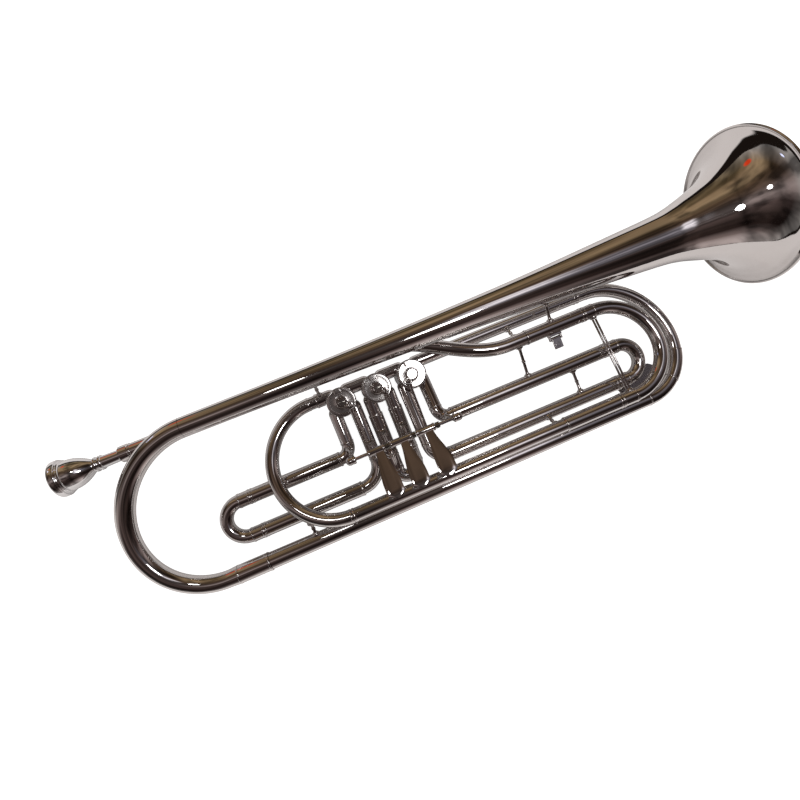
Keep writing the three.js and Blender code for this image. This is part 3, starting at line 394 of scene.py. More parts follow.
def pipe(bm, sections, sides=40):
    """A tube of one or more sections, each a run with an outer radius and a bore; a bore of zero makes a rod."""
    rings = rings_of(sections)
    hollow = all(bore > 0 for _, _, _, bore in rings)
    outline = [(at, along, outer) for at, along, outer, _ in rings]
    if hollow:
        outline += [(at, along, bore) for at, along, _, bore in reversed(rings)]
    thin = []
    for at, along, radius in outline:
        if not thin or (thin[-1][0] - at).length > 1e-4 or abs(thin[-1][2] - radius) > 1e-4:
            thin.append((at, along, radius))
    loops = [ring(bm, at, along, radius, sides) for at, along, radius in thin]
    for before, after in zip(loops, loops[1:]):
        bmesh.ops.bridge_loops(bm, edges=before + after)
    if hollow:
        bmesh.ops.bridge_loops(bm, edges=loops[-1] + loops[0])
    else:
        bmesh.ops.holes_fill(bm, edges=loops[0] + loops[-1], sides=sides)


def turned(bm, profile, at, axis, sides=48, closed=True):
    """A turned shape: its profile holds radius and height pairs along the axis."""
    before = set(bm.verts)
    points = [bm.verts.new((radius, 0, height)) for radius, height in profile]
    ends = points[1:] + ([points[0]] if closed else [])
    edges = [bm.edges.new(pair) for pair in zip(points, ends)]
    bmesh.ops.spin(
        bm, geom=points + edges, cent=(0, 0, 0), axis=(0, 0, 1), dvec=(0, 0, 0),
        angle=2 * math.pi, steps=sides, use_merge=True, use_duplicate=False,
    )
    side = Vector(axis).cross(X_AXIS if abs(Vector(axis).x) < 0.9 else Z_AXIS).normalized()
    spun = Matrix((side, Vector(axis).cross(side), Vector(axis))).transposed().to_4x4()
    made = new_verts(bm, before)
    bmesh.ops.transform(bm, matrix=Matrix.Translation(at) @ spun, verts=made)
    bmesh.ops.remove_doubles(bm, verts=made, dist=1e-4)


def drum(bm, start, end, radius, bore=0, edge=0.35, sides=36):
    """A short round bar between two points, with its rims rounded off, and a hole if it has a bore."""
    start, end = Vector(start), Vector(end)
    length = (end - start).length
    soft = 0.3 * edge
    outside = [
        (radius - edge, 0), (radius - soft, soft), (radius, edge),
        (radius, length - edge), (radius - soft, length - soft), (radius - edge, length),
    ]
    profile = outside + [(bore, length), (bore, 0)]
    turned(bm, profile, start, (end - start).normalized(), sides)


def bead(bm, at, along, radius, width=1.6, rise=0.4, sides=40):
    """A half-round ring that stands on a tube, where a joint is soldered or a sleeve ends."""
    along = Vector(along).normalized()
    steps = 6
    round_part = [
        (radius + rise * math.sin(math.pi * i / steps), -0.5 * width * math.cos(math.pi * i / steps))
        for i in range(steps + 1)
    ]
    inner = radius - 0.5 * rise
    turned(bm, round_part + [(inner, 0.5 * width), (inner, -0.5 * width)], at, along, sides)


def block(bm, low, high, edge=0.3, matrix=None):
    """A box between two corners with its edges rounded off, turned by the matrix if one is given."""
    low, high = Vector(low), Vector(high)
    size = Matrix.Diagonal([*(high - low), 1])
    before = set(bm.verts)
    bmesh.ops.create_cube(bm, size=1, matrix=Matrix.Translation(0.5 * (low + high)) @ size)
    made = new_verts(bm, before)
    edges = list({e for vert in made for e in vert.link_edges})
    bmesh.ops.bevel(
        bm, geom=edges, offset=edge, offset_type="OFFSET", affect="EDGES", segments=3, profile=0.5, material=-1)
    if matrix:
        bmesh.ops.transform(bm, matrix=matrix, verts=new_verts(bm, before))


def ball(bm, at, radius):
    bmesh.ops.create_uvsphere(
        bm, u_segments=28, v_segments=16, radius=radius, matrix=Matrix.Translation(at))


def smooth_path(points, steps):
    """A smooth line through the points, with a few steps to each gap between them."""
    points = [Vector(p) for p in points]
    ends = [2 * points[0] - points[1], *points, 2 * points[-1] - points[-2]]
    line = []
    for a, b, c, d in zip(ends, ends[1:], ends[2:], ends[3:]):
        for i in range(steps):
            t = i / steps
            line.append(0.5 * (
                2 * b + (c - a) * t + (2 * a - 5 * b + 4 * c - d) * t * t + (3 * b - a - 3 * c + d) * t ** 3))
    return line + [points[-1]]


def finish_piece(name, bm, body, replaced=(), material="polished_nickel_plate",
                 sharp=math.radians(38), flat=False):
    """Makes a finished object of a bmesh drawn in the horn's millimetres, with even light on flat faces."""
    bmesh.ops.remove_doubles(bm, verts=bm.verts, dist=1e-4)
    bmesh.ops.recalc_face_normals(bm, faces=bm.faces)
    for face in bm.faces:
        face.smooth = True
    for edge in bm.edges:
        edge.smooth = len(edge.link_faces) == 2 and edge.calc_face_angle(0) < sharp
    bmesh.ops.transform(bm, matrix=HORN, verts=bm.verts)
    mesh = bpy.data.meshes.new(name)
    bm.to_mesh(mesh)
    bm.free()
    mesh.materials.append(materials()[material])
    made = bpy.data.objects.new(name, mesh)
    bpy.context.scene.collection.objects.link(made)
    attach(made, body)
    if flat:
        even = made.modifiers.new("even_flats", "WEIGHTED_NORMAL")
        even.keep_sharp = True
    if replaced:
        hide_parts(*replaced)
    return made


# Bell
def bell_at(x, z=0):
    """A point on the bell's axis, which leans a little towards the tubing."""
    return Vector((x, BELL_ROW - (x - BELL_START_X) * math.tan(BELL_LEAN), z))


def bell_radius(x):
    share = (x - BELL_START_X) / (BELL_RIM_X - BELL_START_X)
    for (low, small), (high, large) in zip(BELL_SHARES, BELL_SHARES[1:]):
        if low <= share <= high:
            out = small + (large - small) * (share - low) / (high - low)
            return BELL_TAIL + out * (BELL_RIM - BELL_BEAD - BELL_TAIL)
    return BELL_RIM


class FLUGEL_OT_bell(bpy.types.Operator):
    """Spins the bell: the long tail, the flare, and the rim rolled back over a wire"""

    bl_idname = "flugel.bell"
    bl_label = "Bell"

    def execute(self, context):
        length = BELL_RIM_X - BELL_START_X
        growth = BELL_RIM - BELL_BEAD - BELL_TAIL
        plan = [
            (BELL_TAIL + out * growth, along * (length - BELL_BEAD), 0) for along, out in BELL_SHARES
        ]
        line = [(p.x, p.y) for p in smooth_path(plan, 8)]
        inside = []
        for i, (radius, height) in enumerate(line):
            before, after = line[max(i - 1, 0)], line[min(i + 1, len(line) - 1)]
            slope = math.hypot(after[0] - before[0], after[1] - before[1])
            inward = BELL_WALL * (after[1] - before[1]) / slope
            forward = BELL_WALL * (after[0] - before[0]) / slope
            inside.append((radius - inward, height + forward))
        inside[0] = (inside[0][0], 0)
        wire = []
        steps = 18
        centre = (BELL_RIM - BELL_BEAD, length - BELL_BEAD)
        for i in range(steps + 1):
            angle = math.radians(-150) + math.radians(285) * i / steps
            wire.append((
                centre[0] + BELL_BEAD * math.cos(angle), centre[1] + BELL_BEAD * math.sin(angle)))
        line = [point for point in line if point[0] < BELL_RIM - 2.6 * BELL_BEAD]
        inside = [point for point in inside if point[0] < BELL_RIM - 3.2 * BELL_BEAD]
        bm = bmesh.new()
        axis = Vector((math.cos(BELL_LEAN), -math.sin(BELL_LEAN), 0))
        start = bell_at(BELL_START_X) + axis * SEAM
        turned(bm, line + wire + inside[::-1], start, axis, sides=144)
        finish_piece("bell", bm, "horn", ["bell"])
        return {"FINISHED"}


# Outer loop
class FLUGEL_OT_outer_loop(bpy.types.Operator):
    """Bends the outer bow, the lower outer tube and the left bow that leads into the bell"""

    bl_idname = "flugel.outer_loop"
    bl_label = "Outer loop"

    def execute(self, context):
        start = Vector((OUTER_BOW_START_X, PORT_ROW, PORT_LEVEL))
        end = Vector((OUTER_BOW_END_X, OUTER_ROW, OUTER_LEVEL))
        outlet_end = Vector((OUTLET_END_X + SEAM, PORT_ROW, PORT_LEVEL))
        run = bow(start, end, OUTER_BOW_X, 64)
        wide = OUTER_BOW + WIDE_WALL
        bm = bmesh.new()
        pipe(bm, [
            (straight(outlet_end, start), TUBE, BORE),
            (run, (OUTER_BOW, wide), (BORE, OUTER_BOW)),
        ])
        sleeve_start, sleeve_end = 41, 53
        cover = run[sleeve_start:sleeve_end]
        pipe(bm, [(cover, wide + 0.25, wide - 0.4)])
        for at, along in (cover[0], cover[-1]):
            bead(bm, at, along, wide + 0.15, width=1.4, rise=0.35)
        bead(bm, outlet_end + 2 * X_AXIS, X_AXIS, TUBE, width=2.4, rise=0.5)
        finish_piece("outer_bow", bm, "horn", ["outer_bow"])

        left_start = Vector((LOWER_FERRULE_X, OUTER_ROW, OUTER_LEVEL))
        bm = bmesh.new()
        pipe(bm, [(straight(end - SEAM * X_AXIS, left_start), (wide, LOWER_TUBE), (OUTER_BOW, LOWER_TUBE - WIDE_WALL))])
        bead(bm, end - 1.6 * X_AXIS, X_AXIS, wide, width=1.6, rise=0.4)
        finish_piece("lower_outer_tube", bm, "horn", ["lower_outer_tube"])

        bottom = Vector((LEFT_BOW_START_X, OUTER_ROW, OUTER_LEVEL))
        top = Vector((BELL_START_X, BELL_ROW, 0))
        ferrule_start = left_start - SEAM * X_AXIS
        taper_start = bottom + 7 * X_AXIS
        bm = bmesh.new()
        pipe(bm, [
            (straight(ferrule_start, taper_start), LOWER_FERRULE, LOWER_TUBE - WIDE_WALL),
            (straight(taper_start, bottom), (LOWER_FERRULE, LOWER_TUBE), LOWER_TUBE - WIDE_WALL),
            (bow(bottom, top, LEFT_BOW_X, 72), (LOWER_TUBE, BELL_TAIL), (LOWER_TUBE - WIDE_WALL, BELL_TAIL - WIDE_WALL)),
        ])
        bead(bm, ferrule_start - 1.2 * X_AXIS, X_AXIS, LOWER_FERRULE, width=1.8, rise=0.35)
        bead(bm, taper_start + 1.2 * X_AXIS, X_AXIS, LOWER_FERRULE, width=1.8, rise=0.25)
        finish_piece("left_bow", bm, "horn", ["left_bow"])
        return {"FINISHED"}


# Mouthpiece
class FLUGEL_OT_mouthpiece(bpy.types.Operator):
    """Turns the mouthpiece: rounded rim, stepped bowl, two neck rings and the tapered shank"""

    bl_idname = "flugel.mouthpiece"
    bl_label = "Mouthpiece"

    def execute(self, context):
        outside = [
            (0.8, 0.005), (0.84, 0), (0.89, 0.01), (0.94, 0.035), (0.98, 0.08), (1, 0.15), (1, 0.24), (1, 0.38),
            (0.98, 0.42), (0.91, 0.44), (0.9, 0.46), (0.92, 0.475), (0.92, 0.505), (0.89, 0.52),
            (0.89, 0.54), (0.91, 0.555), (0.9, 0.59), (0.85, 0.61), (0.83, 0.63), (0.83, 0.8), (0.81, 0.98),
            (0.77, 1.16), (0.71, 1.34), (0.62, 1.54), (0.51, 1.74), (0.4, 1.91), (0.35, 1.98), (0.33, 2.03),
            (0.345, 2.06), (0.39, 2.08), (0.405, 2.11), (0.405, 2.18), (0.39, 2.21), (0.34, 2.23),
            (0.325, 2.27), (0.34, 2.31), (0.385, 2.33), (0.4, 2.36), (0.4, 2.46), (0.385, 2.49), (0.34, 2.51),
        ]
        bore = SHANK_BORE / MOUTHPIECE_RIM
        bowl = [
            (bore, 1.7), (bore + 0.01, 1.5), (0.26, 1.36), (0.36, 1.24), (0.46, 1.1), (0.55, 0.9), (0.62, 0.68),
            (0.68, 0.42), (0.72, 0.2), (0.74, 0.08), (0.765, 0.02),
        ]
        sized = [(r * MOUTHPIECE_RIM, h * MOUTHPIECE_RIM) for r, h in outside]
        cup = [(r * MOUTHPIECE_RIM, h * MOUTHPIECE_RIM) for r, h in bowl]
        chamfer = 0.4
        shank = [
            (SHANK, MOUTHPIECE_LENGTH - chamfer), (SHANK - chamfer, MOUTHPIECE_LENGTH), (SHANK_BORE, MOUTHPIECE_LENGTH)]
        bm = bmesh.new()
        start = Vector((MOUTHPIECE_X, LEADPIPE_ROW, LEADPIPE_LEVEL))
        turned(bm, sized + shank + cup, start, X_AXIS, sides=96)
        finish_piece("mouthpiece", bm, "mouthpiece", ["mouthpiece"], "polished_silver_plate")
        return {"FINISHED"}


# Leadpipe
def tuning_at(x):
    return Vector((x, TUNING_ROW, TUNING_LEVEL))


def inner_at(x):
    return Vector((x, INNER_ROW, INNER_LEVEL))


def lead_at(x):
    return Vector((x, LEADPIPE_ROW, LEADPIPE_LEVEL))


def lead_curve(steps=40):
    """The run from under the bell out to the tuning slide, as stations of one cubic curve."""
    start, end = lead_at(LEAD_CURVE_START_X), tuning_at(LEAD_CURVE_END_X)
    span = LEAD_CURVE_END_X - LEAD_CURVE_START_X
    pull_start = start + LEAD_CURVE_PULLS[0] * span * X_AXIS
    pull_end = Vector((start.x + LEAD_CURVE_PULLS[1] * span, end.y, end.z))
    stations = []
    for i in range(steps + 1):
        t = i / steps
        s = 1 - t
        at = s**3 * start + 3 * s * s * t * pull_start + 3 * s * t * t * pull_end + t**3 * end
        along = s * s * (pull_start - start) + 2 * s * t * (pull_end - pull_start) + t * t * (end - pull_end)
        stations.append((at, along.normalized()))
    return stations


class FLUGEL_OT_leadpipe(bpy.types.Operator):
    """Draws the receiver with its collar, the leadpipe and the upper sleeve of the tuning slide"""

    bl_idname = "flugel.leadpipe"
    bl_label = "Leadpipe"

    def execute(self, context):
        collar_end = RECEIVER_X + FERRULE_LENGTH
        receiver_bore = SHANK + TUBE_WALL + SEAM
        collar = RECEIVER + FERRULE_WALL
        shank_end = MOUTHPIECE_X + MOUTHPIECE_LENGTH + SEAM
        lip = 0.6
        bm = bmesh.new()
        pipe(bm, [
            (straight(lead_at(RECEIVER_X), lead_at(RECEIVER_X + lip)), (collar - lip, collar), receiver_bore),
            (straight(lead_at(RECEIVER_X + lip), lead_at(collar_end - lip)), collar, receiver_bore),
            (straight(lead_at(collar_end - lip), lead_at(collar_end)), (collar, RECEIVER), receiver_bore),
            (straight(lead_at(collar_end), lead_at(shank_end)), RECEIVER, receiver_bore),
            (straight(lead_at(shank_end), lead_at(RECEIVER_X + RECEIVER_LENGTH)), RECEIVER, SHANK_BORE),
        ])
        bead(bm, lead_at(collar_end + 1.4), X_AXIS, RECEIVER, width=1.6, rise=0.4)
        bead(bm, lead_at(RECEIVER_X + RECEIVER_LENGTH - 1), X_AXIS, RECEIVER, width=1.6, rise=0.3)
        finish_piece("mouthpiece_receiver", bm, "horn", ["mouthpiece_receiver"])

        lead_start = lead_at(RECEIVER_X + RECEIVER_LENGTH + SEAM)
        narrow = SHANK + TUBE_WALL
        run = lead_curve()
        bm = bmesh.new()
        pipe(bm, [
            (straight(lead_start, run[0][0]), (narrow, TUBE - TUBE_WALL), (4.4, BORE - TUBE_WALL)),
            (run, LEAD_CURVE, BORE - TUBE_WALL),
            (straight(run[-1][0], tuning_at(TUNING_SLEEVE_X)), LEAD_CURVE, BORE - TUBE_WALL),
        ])
        bead(bm, run[0][0] - X_AXIS, X_AXIS, TUBE, width=2, rise=0.4)
        finish_piece("leadpipe", bm, "horn", ["leadpipe"])

        bm = bmesh.new()
        sleeve_start, sleeve_end = tuning_at(TUNING_SLEEVE_X + SEAM), tuning_at(TUNING_SLEEVE_END_X)
        pipe(bm, [(straight(sleeve_start, sleeve_end), SLEEVE, SLEEVE_BORE)])
        bead(bm, sleeve_start + 1.2 * X_AXIS, X_AXIS, SLEEVE, width=2, rise=0.45)
        bead(bm, sleeve_end - 1.2 * X_AXIS, X_AXIS, SLEEVE, width=2, rise=0.35)
        finish_piece("tuning_sleeve_upper", bm, "horn", ["tuning_sleeve_upper"])
        return {"FINISHED"}


# Slides
def sleeve_sections(start, end):
    """A sleeve soldered over the end of its tube by a short socket."""
    socket = start + SOCKET_LENGTH * (end - start).normalized()
    return [(straight(start, socket), SLEEVE, BORE), (straight(socket, end), SLEEVE, SLEEVE_BORE)]


def slide_bow(bm, upper, lower, crown_x, sleeve_end_x, length, bend_xs=None):
    """A slide's moving bow: two inner legs, a ferrule on each against its sleeve, and the bow."""
    way = math.copysign(1, crown_x - sleeve_end_x)
    gap = 0.5 * (upper(0) - lower(0)).length
    upper_x, lower_x = bend_xs or [crown_x - way * gap] * 2
    ferrule_x = sleeve_end_x + way * SEAM
    tip_x = ferrule_x - way * length
    pipe(bm, [
        (straight(upper(tip_x), upper(ferrule_x)), TUBE, BORE),
        (straight(upper(ferrule_x), upper(upper_x)), SLEEVE, BORE),
        (bow(upper(upper_x), lower(lower_x), crown_x, 56), BOW, BORE),
        (straight(lower(lower_x), lower(ferrule_x)), SLEEVE, BORE),
        (straight(lower(ferrule_x), lower(tip_x)), TUBE, BORE),
    ])
    inset = 1.3 * way
    for place, bend_x in ((upper, upper_x), (lower, lower_x)):
        bead(bm, place(ferrule_x + inset), X_AXIS, SLEEVE, width=2, rise=0.4)
        bead(bm, place(bend_x - inset), X_AXIS, SLEEVE, width=1.6, rise=0.3)


class FLUGEL_OT_tuning_slide(bpy.types.Operator):
    """Draws the main tuning slide with its double brace"""

    bl_idname = "flugel.tuning_slide"
    bl_label = "Tuning slide"

    def execute(self, context):
        bm = bmesh.new()
        slide_bow(
            bm, tuning_at, inner_at, TUNING_BOW_X, TUNING_SLEEVE_END_X, LEG_LENGTH - FERRULE_LENGTH,
            [TUNING_BOW_START_X, TUNING_BOW_END_X])
        finish_piece("tuning_slide", bm, "tuning_slide", ["tuning_slide"])

        span = TUNING_BOW_START_X - TUNING_SLEEVE_END_X
        half = 1.5
        bm = bmesh.new()
        for aside in (-half, half):
            top = tuning_at(TUNING_SLEEVE_END_X + 0.76 * span + aside)
            foot = inner_at(TUNING_SLEEVE_END_X + span + aside)
            way = (foot - top).normalized()
            drum(bm, top + (SLEEVE - 0.8) * way, foot - (SLEEVE - 0.8) * way, 1.05, edge=0.2)
        for host, share in ((tuning_at, 0.76), (inner_at, 1)):
            at = host(TUNING_SLEEVE_END_X + share * span)
            other = inner_at(at.x) if host is tuning_at else tuning_at(at.x)
            way = (other - at).normalized()
            saddle(bm, at, way, SLEEVE, 3.6)
        finish_piece("tuning_slide_brace", bm, "tuning_slide", ["tuning_slide_brace"])
        return {"FINISHED"}


class FLUGEL_OT_inner_loop(bpy.types.Operator):
    """Draws the lower inner tube with its sleeve, and the D loop into the first valve"""

    bl_idname = "flugel.inner_loop"
    bl_label = "Inner loop"

    def execute(self, context):
        arm = 0.5 * (PORT_ROW - INNER_ROW)
        bottom, top = inner_at(D_LOOP_X + arm), Vector((D_LOOP_X + arm, PORT_ROW, PORT_LEVEL))
        sleeve_start, sleeve_end = inner_at(INNER_SLEEVE_X), inner_at(TUNING_SLEEVE_END_X)
        bm = bmesh.new()
        pipe(bm, [
            (straight(bottom + SEAM * X_AXIS, sleeve_start), TUBE, BORE),
            *sleeve_sections(sleeve_start, sleeve_end),
        ])
        bead(bm, bottom + 1.5 * X_AXIS, X_AXIS, TUBE, width=2.4, rise=0.5)
        bead(bm, sleeve_start + X_AXIS, X_AXIS, SLEEVE, width=2, rise=0.4)
        bead(bm, sleeve_end - 1.2 * X_AXIS, X_AXIS, SLEEVE, width=2, rise=0.35)
        finish_piece("lower_inner_tube", bm, "horn", ["lower_inner_tube"])

        end = Vector((VALVE_XS[0] - CASING - FERRULE_LENGTH, PORT_ROW, PORT_LEVEL))
        bm = bmesh.new()
        pipe(bm, [(bow(bottom, top, D_LOOP_X, 64), BOW, BORE), (straight(top, end), TUBE, BORE)])
        bead(bm, bottom - 1.2 * X_AXIS, X_AXIS, BOW - 0.1, width=2, rise=0.45)
        bead(bm, top - 1.2 * X_AXIS, X_AXIS, BOW - 0.1, width=2, rise=0.3)
        finish_piece("d_loop", bm, "horn", ["d_loop"])
        return {"FINISHED"}


class FLUGEL_OT_valve_slides(bpy.types.Operator):
    """Draws the tubes and pull slides of the three valves"""

    bl_idname = "flugel.valve_slides"
    bl_label = "Valve slides"

    def execute(self, context):
        first = (0, -1, PORT_LEVEL, FIRST_SLEEVE_END_X)
        third = (2, 1, THIRD_LEVEL, THIRD_SLEEVE_END_X)
        plans = {
            "first_slide_tube_upper": (*first, -1, SLIDE_UPPER_ROW, UPPER_ELBOW),
            "first_slide_tube_lower": (*first, 1, SLIDE_LOWER_ROW, FIRST_LOWER_ELBOW),
            "third_slide_tube_upper": (*third, 1, SLIDE_UPPER_ROW, UPPER_ELBOW),
            "third_slide_tube_lower": (*third, -1, SLIDE_LOWER_ROW, THIRD_LOWER_ELBOW),
        }
        for name, (valve, way, level, end_x, side, row, radius) in plans.items():
            x = VALVE_XS[valve] + side * PORT_OFFSET
            start = Vector((x, -PORT_START, PORT_LEVEL))
            corner = Vector((x, row, level))
            bend_start = corner + radius * (start - corner).normalized()
            bend_end = corner + way * radius * X_AXIS
            end = Vector((end_x, row, level))
            bm = bmesh.new()
            down = (corner - start).normalized()
            clear = start + (CASING - PORT_START + 1) * down
            pipe(bm, [
                (straight(clear, bend_start), TUBE, BORE),
                (elbow(bend_start, corner, bend_end, 18), TUBE, BORE),
                *sleeve_sections(bend_end, end),
            ])
            port_neck(bm, start, clear)
            bead(bm, bend_start - 1.5 * down, down, TUBE, width=1.8, rise=0.4)
            bead(bm, bend_end + 1.2 * way * X_AXIS, X_AXIS, SLEEVE, width=2, rise=0.35)
            bead(bm, end - 1.2 * way * X_AXIS, X_AXIS, SLEEVE, width=2, rise=0.35)
            finish_piece(name, bm, "horn", [name])

        slides = {
            "first_slide": (PORT_LEVEL, FIRST_BOW_X, FIRST_SLEEVE_END_X),
            "third_slide": (THIRD_LEVEL, THIRD_BOW_X, THIRD_SLEEVE_END_X),
        }
        for name, (level, crown_x, sleeve_end_x) in slides.items():
            bm = bmesh.new()
            slide_bow(
                bm, lambda x: Vector((x, SLIDE_UPPER_ROW, level)), lambda x: Vector((x, SLIDE_LOWER_ROW, level)),
                crown_x, sleeve_end_x, LEG_LENGTH)
            finish_piece(name, bm, name, [name])

        start = Vector((VALVE_XS[1], -PORT_START, PORT_LEVEL))
        way = Vector((0, SECOND_BOW_Y + PORT_START, -SECOND_BOW_DROP)).normalized()

        def second_at(side, y):
            return start + (y - start.y) / way.y * way + side * PORT_OFFSET * X_AXIS

        tube_end_y = -CASING - FERRULE_LENGTH
        for side, name in ((-1, "second_slide_tube_left"), (1, "second_slide_tube_right")):
            clear = second_at(side, -CASING - 1)
            bm = bmesh.new()
            pipe(bm, [
                (straight(clear, second_at(side, tube_end_y)), TUBE, BORE),
                *sleeve_sections(second_at(side, tube_end_y), second_at(side, SECOND_SLEEVE_END_Y)),
            ])
            port_neck(bm, second_at(side, -PORT_START), clear)
            bead(bm, second_at(side, tube_end_y - 1.2), way, SLEEVE, width=2, rise=0.15)
            bead(bm, second_at(side, SECOND_SLEEVE_END_Y + 1.2), way, SLEEVE, width=2, rise=0.35)
            finish_piece(name, bm, "horn", [name])

        ferrule_y = SECOND_SLEEVE_END_Y - SEAM
        bend_y = SECOND_BOW_Y + PORT_OFFSET
        tip_y = ferrule_y + SECOND_LEG_LENGTH
        bm = bmesh.new()
        pipe(bm, [
            (straight(second_at(-1, tip_y), second_at(-1, ferrule_y)), TUBE, BORE),
            (straight(second_at(-1, ferrule_y), second_at(-1, bend_y)), SLEEVE, BORE),
            (turn(second_at(0, bend_y), -PORT_OFFSET * X_AXIS, PORT_OFFSET * way, math.pi, 40), BOW, BORE),
            (straight(second_at(1, bend_y), second_at(1, ferrule_y)), SLEEVE, BORE),
            (straight(second_at(1, ferrule_y), second_at(1, tip_y)), TUBE, BORE),
        ])
        for side in (-1, 1):
            bead(bm, second_at(side, ferrule_y - 1.3), way, SLEEVE, width=2, rise=0.4)
            bead(bm, second_at(side, bend_y + 1.3), way, SLEEVE, width=1.6, rise=0.3)
        finish_piece("second_slide", bm, "second_slide", ["second_slide"])
        return {"FINISHED"}


def port_neck(bm, start, end):
    """A tube's first stretch out of its casing, with a rounded heel inside the casing's wall."""
    pipe(bm, [(straight(start, end), TUBE, BORE)])
    ball(bm, start, TUBE)


# Valves
class FLUGEL_OT_valves(bpy.types.Operator):
    """Turns the valve casings, their top plates with stop blocks, bottom caps and the knuckles between them"""

    bl_idname = "flugel.valves"
    bl_label = "Valves"

    def execute(self, context):
        bore = CASING - CASING_WALL
        bearing = 3.3
        groove = 0.35
        step = 1.1
        for i, x in enumerate(VALVE_XS):
            n = i + 1
            bm = bmesh.new()
            turned(bm, [
                (bore, CASING_BOTTOM), (CASING - 0.3, CASING_BOTTOM), (CASING, CASING_BOTTOM + 0.3),
                (CASING, CASING_BOTTOM + 2.6), (CASING - groove, CASING_BOTTOM + 2.8),
                (CASING - groove, CASING_BOTTOM + 3.3), (CASING, CASING_BOTTOM + 3.5),
                (CASING, CASING_TOP - 3.5), (CASING - groove, CASING_TOP - 3.3),
                (CASING - groove, CASING_TOP - 2.8), (CASING, CASING_TOP - 2.6), (CASING, CASING_TOP - 1.3),
                (CASING - 0.15, CASING_TOP - 0.75), (CASING - 0.5, CASING_TOP - 0.35),
                (CASING - 0.9, CASING_TOP - 0.1), (CASING - 1.4, CASING_TOP), (CASING - 2.5, CASING_TOP),
                (CASING - 2.8, CASING_TOP - 0.5), (CASING - 3.2, CASING_TOP - 0.5),
                (CASING - 3.6, CASING_TOP - 0.1), (bearing + 3.6, CASING_TOP - 0.1),
                (bearing + 3.3, CASING_TOP + 0.1), (bearing + 3, CASING_TOP + 0.3), (bearing, CASING_TOP + 0.3),
                (bearing, CASING_TOP - 2.2), (bore, CASING_TOP - 2.2),
            ], Vector((x, 0, 0)), Z_AXIS, sides=72)
            inner = STOP_ARM_REACH + 1.45
            block(bm, (x - 3.5, inner, CASING_TOP - step), (x + 3.5, bore, CASING_TOP + 5), edge=0.7)
            finish_piece(
                f"valve_casing_{n}", bm, "horn", [f"valve_casing_{n}"], "satin_nickel_plate", flat=True)

            bm = bmesh.new()
            top = CASING_BOTTOM - SEAM
            turned(bm, [
                (bearing, top), (CASING - 0.3, top), (CASING, top - 0.3), (CASING, top - 2), (CASING - 0.7, top - 2.7),
                (CASING - 3, top - 3.4), (CASING - 3.6, top - 3.5), (6.5, top - 3.5), (6, top - 4), (1.2, top - 4),
                (0.6, top - 3.8), (0, top - 3.8), (0, top - 2.8), (bearing, top - 2.8),
            ], Vector((x, 0, 0)), Z_AXIS, sides=72, closed=True)
            finish_piece(f"valve_bottom_cap_{n}", bm, "horn", [f"valve_bottom_cap_{n}"], flat=True)

        for left, right, name in ((0, 1, "valve_knuckle_1_2"), (1, 2, "valve_knuckle_2_3")):
            bm = bmesh.new()
            self.port_pipe(bm, VALVE_XS[left], VALVE_XS[right])
            finish_piece(name, bm, "horn", [name])

        start_x = VALVE_XS[0] - CASING - FERRULE_LENGTH + SEAM
        bm = bmesh.new()
        wide = TUBE + FERRULE_WALL
        self.end_pipe(bm, Vector((start_x, PORT_ROW, PORT_LEVEL)), VALVE_XS[0], -1, wide)
        bead(bm, (start_x + 1, PORT_ROW, PORT_LEVEL), X_AXIS, wide, width=1.6, rise=0.3)
        finish_piece("inlet_ferrule", bm, "horn", ["inlet_ferrule"])

        bm = bmesh.new()
        end = Vector((OUTLET_END_X, PORT_ROW, PORT_LEVEL))
        self.end_pipe(bm, end, VALVE_XS[2], 1, TUBE)
        bead(bm, end - 1.6 * X_AXIS, X_AXIS, TUBE, width=2.4, rise=0.5)
        finish_piece("outlet_tube", bm, "horn", ["outlet_tube"])
        return {"FINISHED"}

    def port_pipe(self, bm, left, right):
        """The knuckle from the right side of one casing to the left side of the next."""
        port_neck(bm, Vector((left + PORT_START, PORT_ROW, PORT_LEVEL)), Vector((right - PORT_START, PORT_ROW, PORT_LEVEL)))
        ball(bm, (right - PORT_START, PORT_ROW, PORT_LEVEL), TUBE)

    def end_pipe(self, bm, end, x, side, radius):
        """The tube from the first or last casing's side out to its end."""
        start = Vector((x + side * PORT_START, PORT_ROW, PORT_LEVEL))
        clear = Vector((x + side * (CASING + 1), PORT_ROW, PORT_LEVEL))
        port_neck(bm, start, clear)
        pipe(bm, [(straight(clear, end), radius, BORE)])


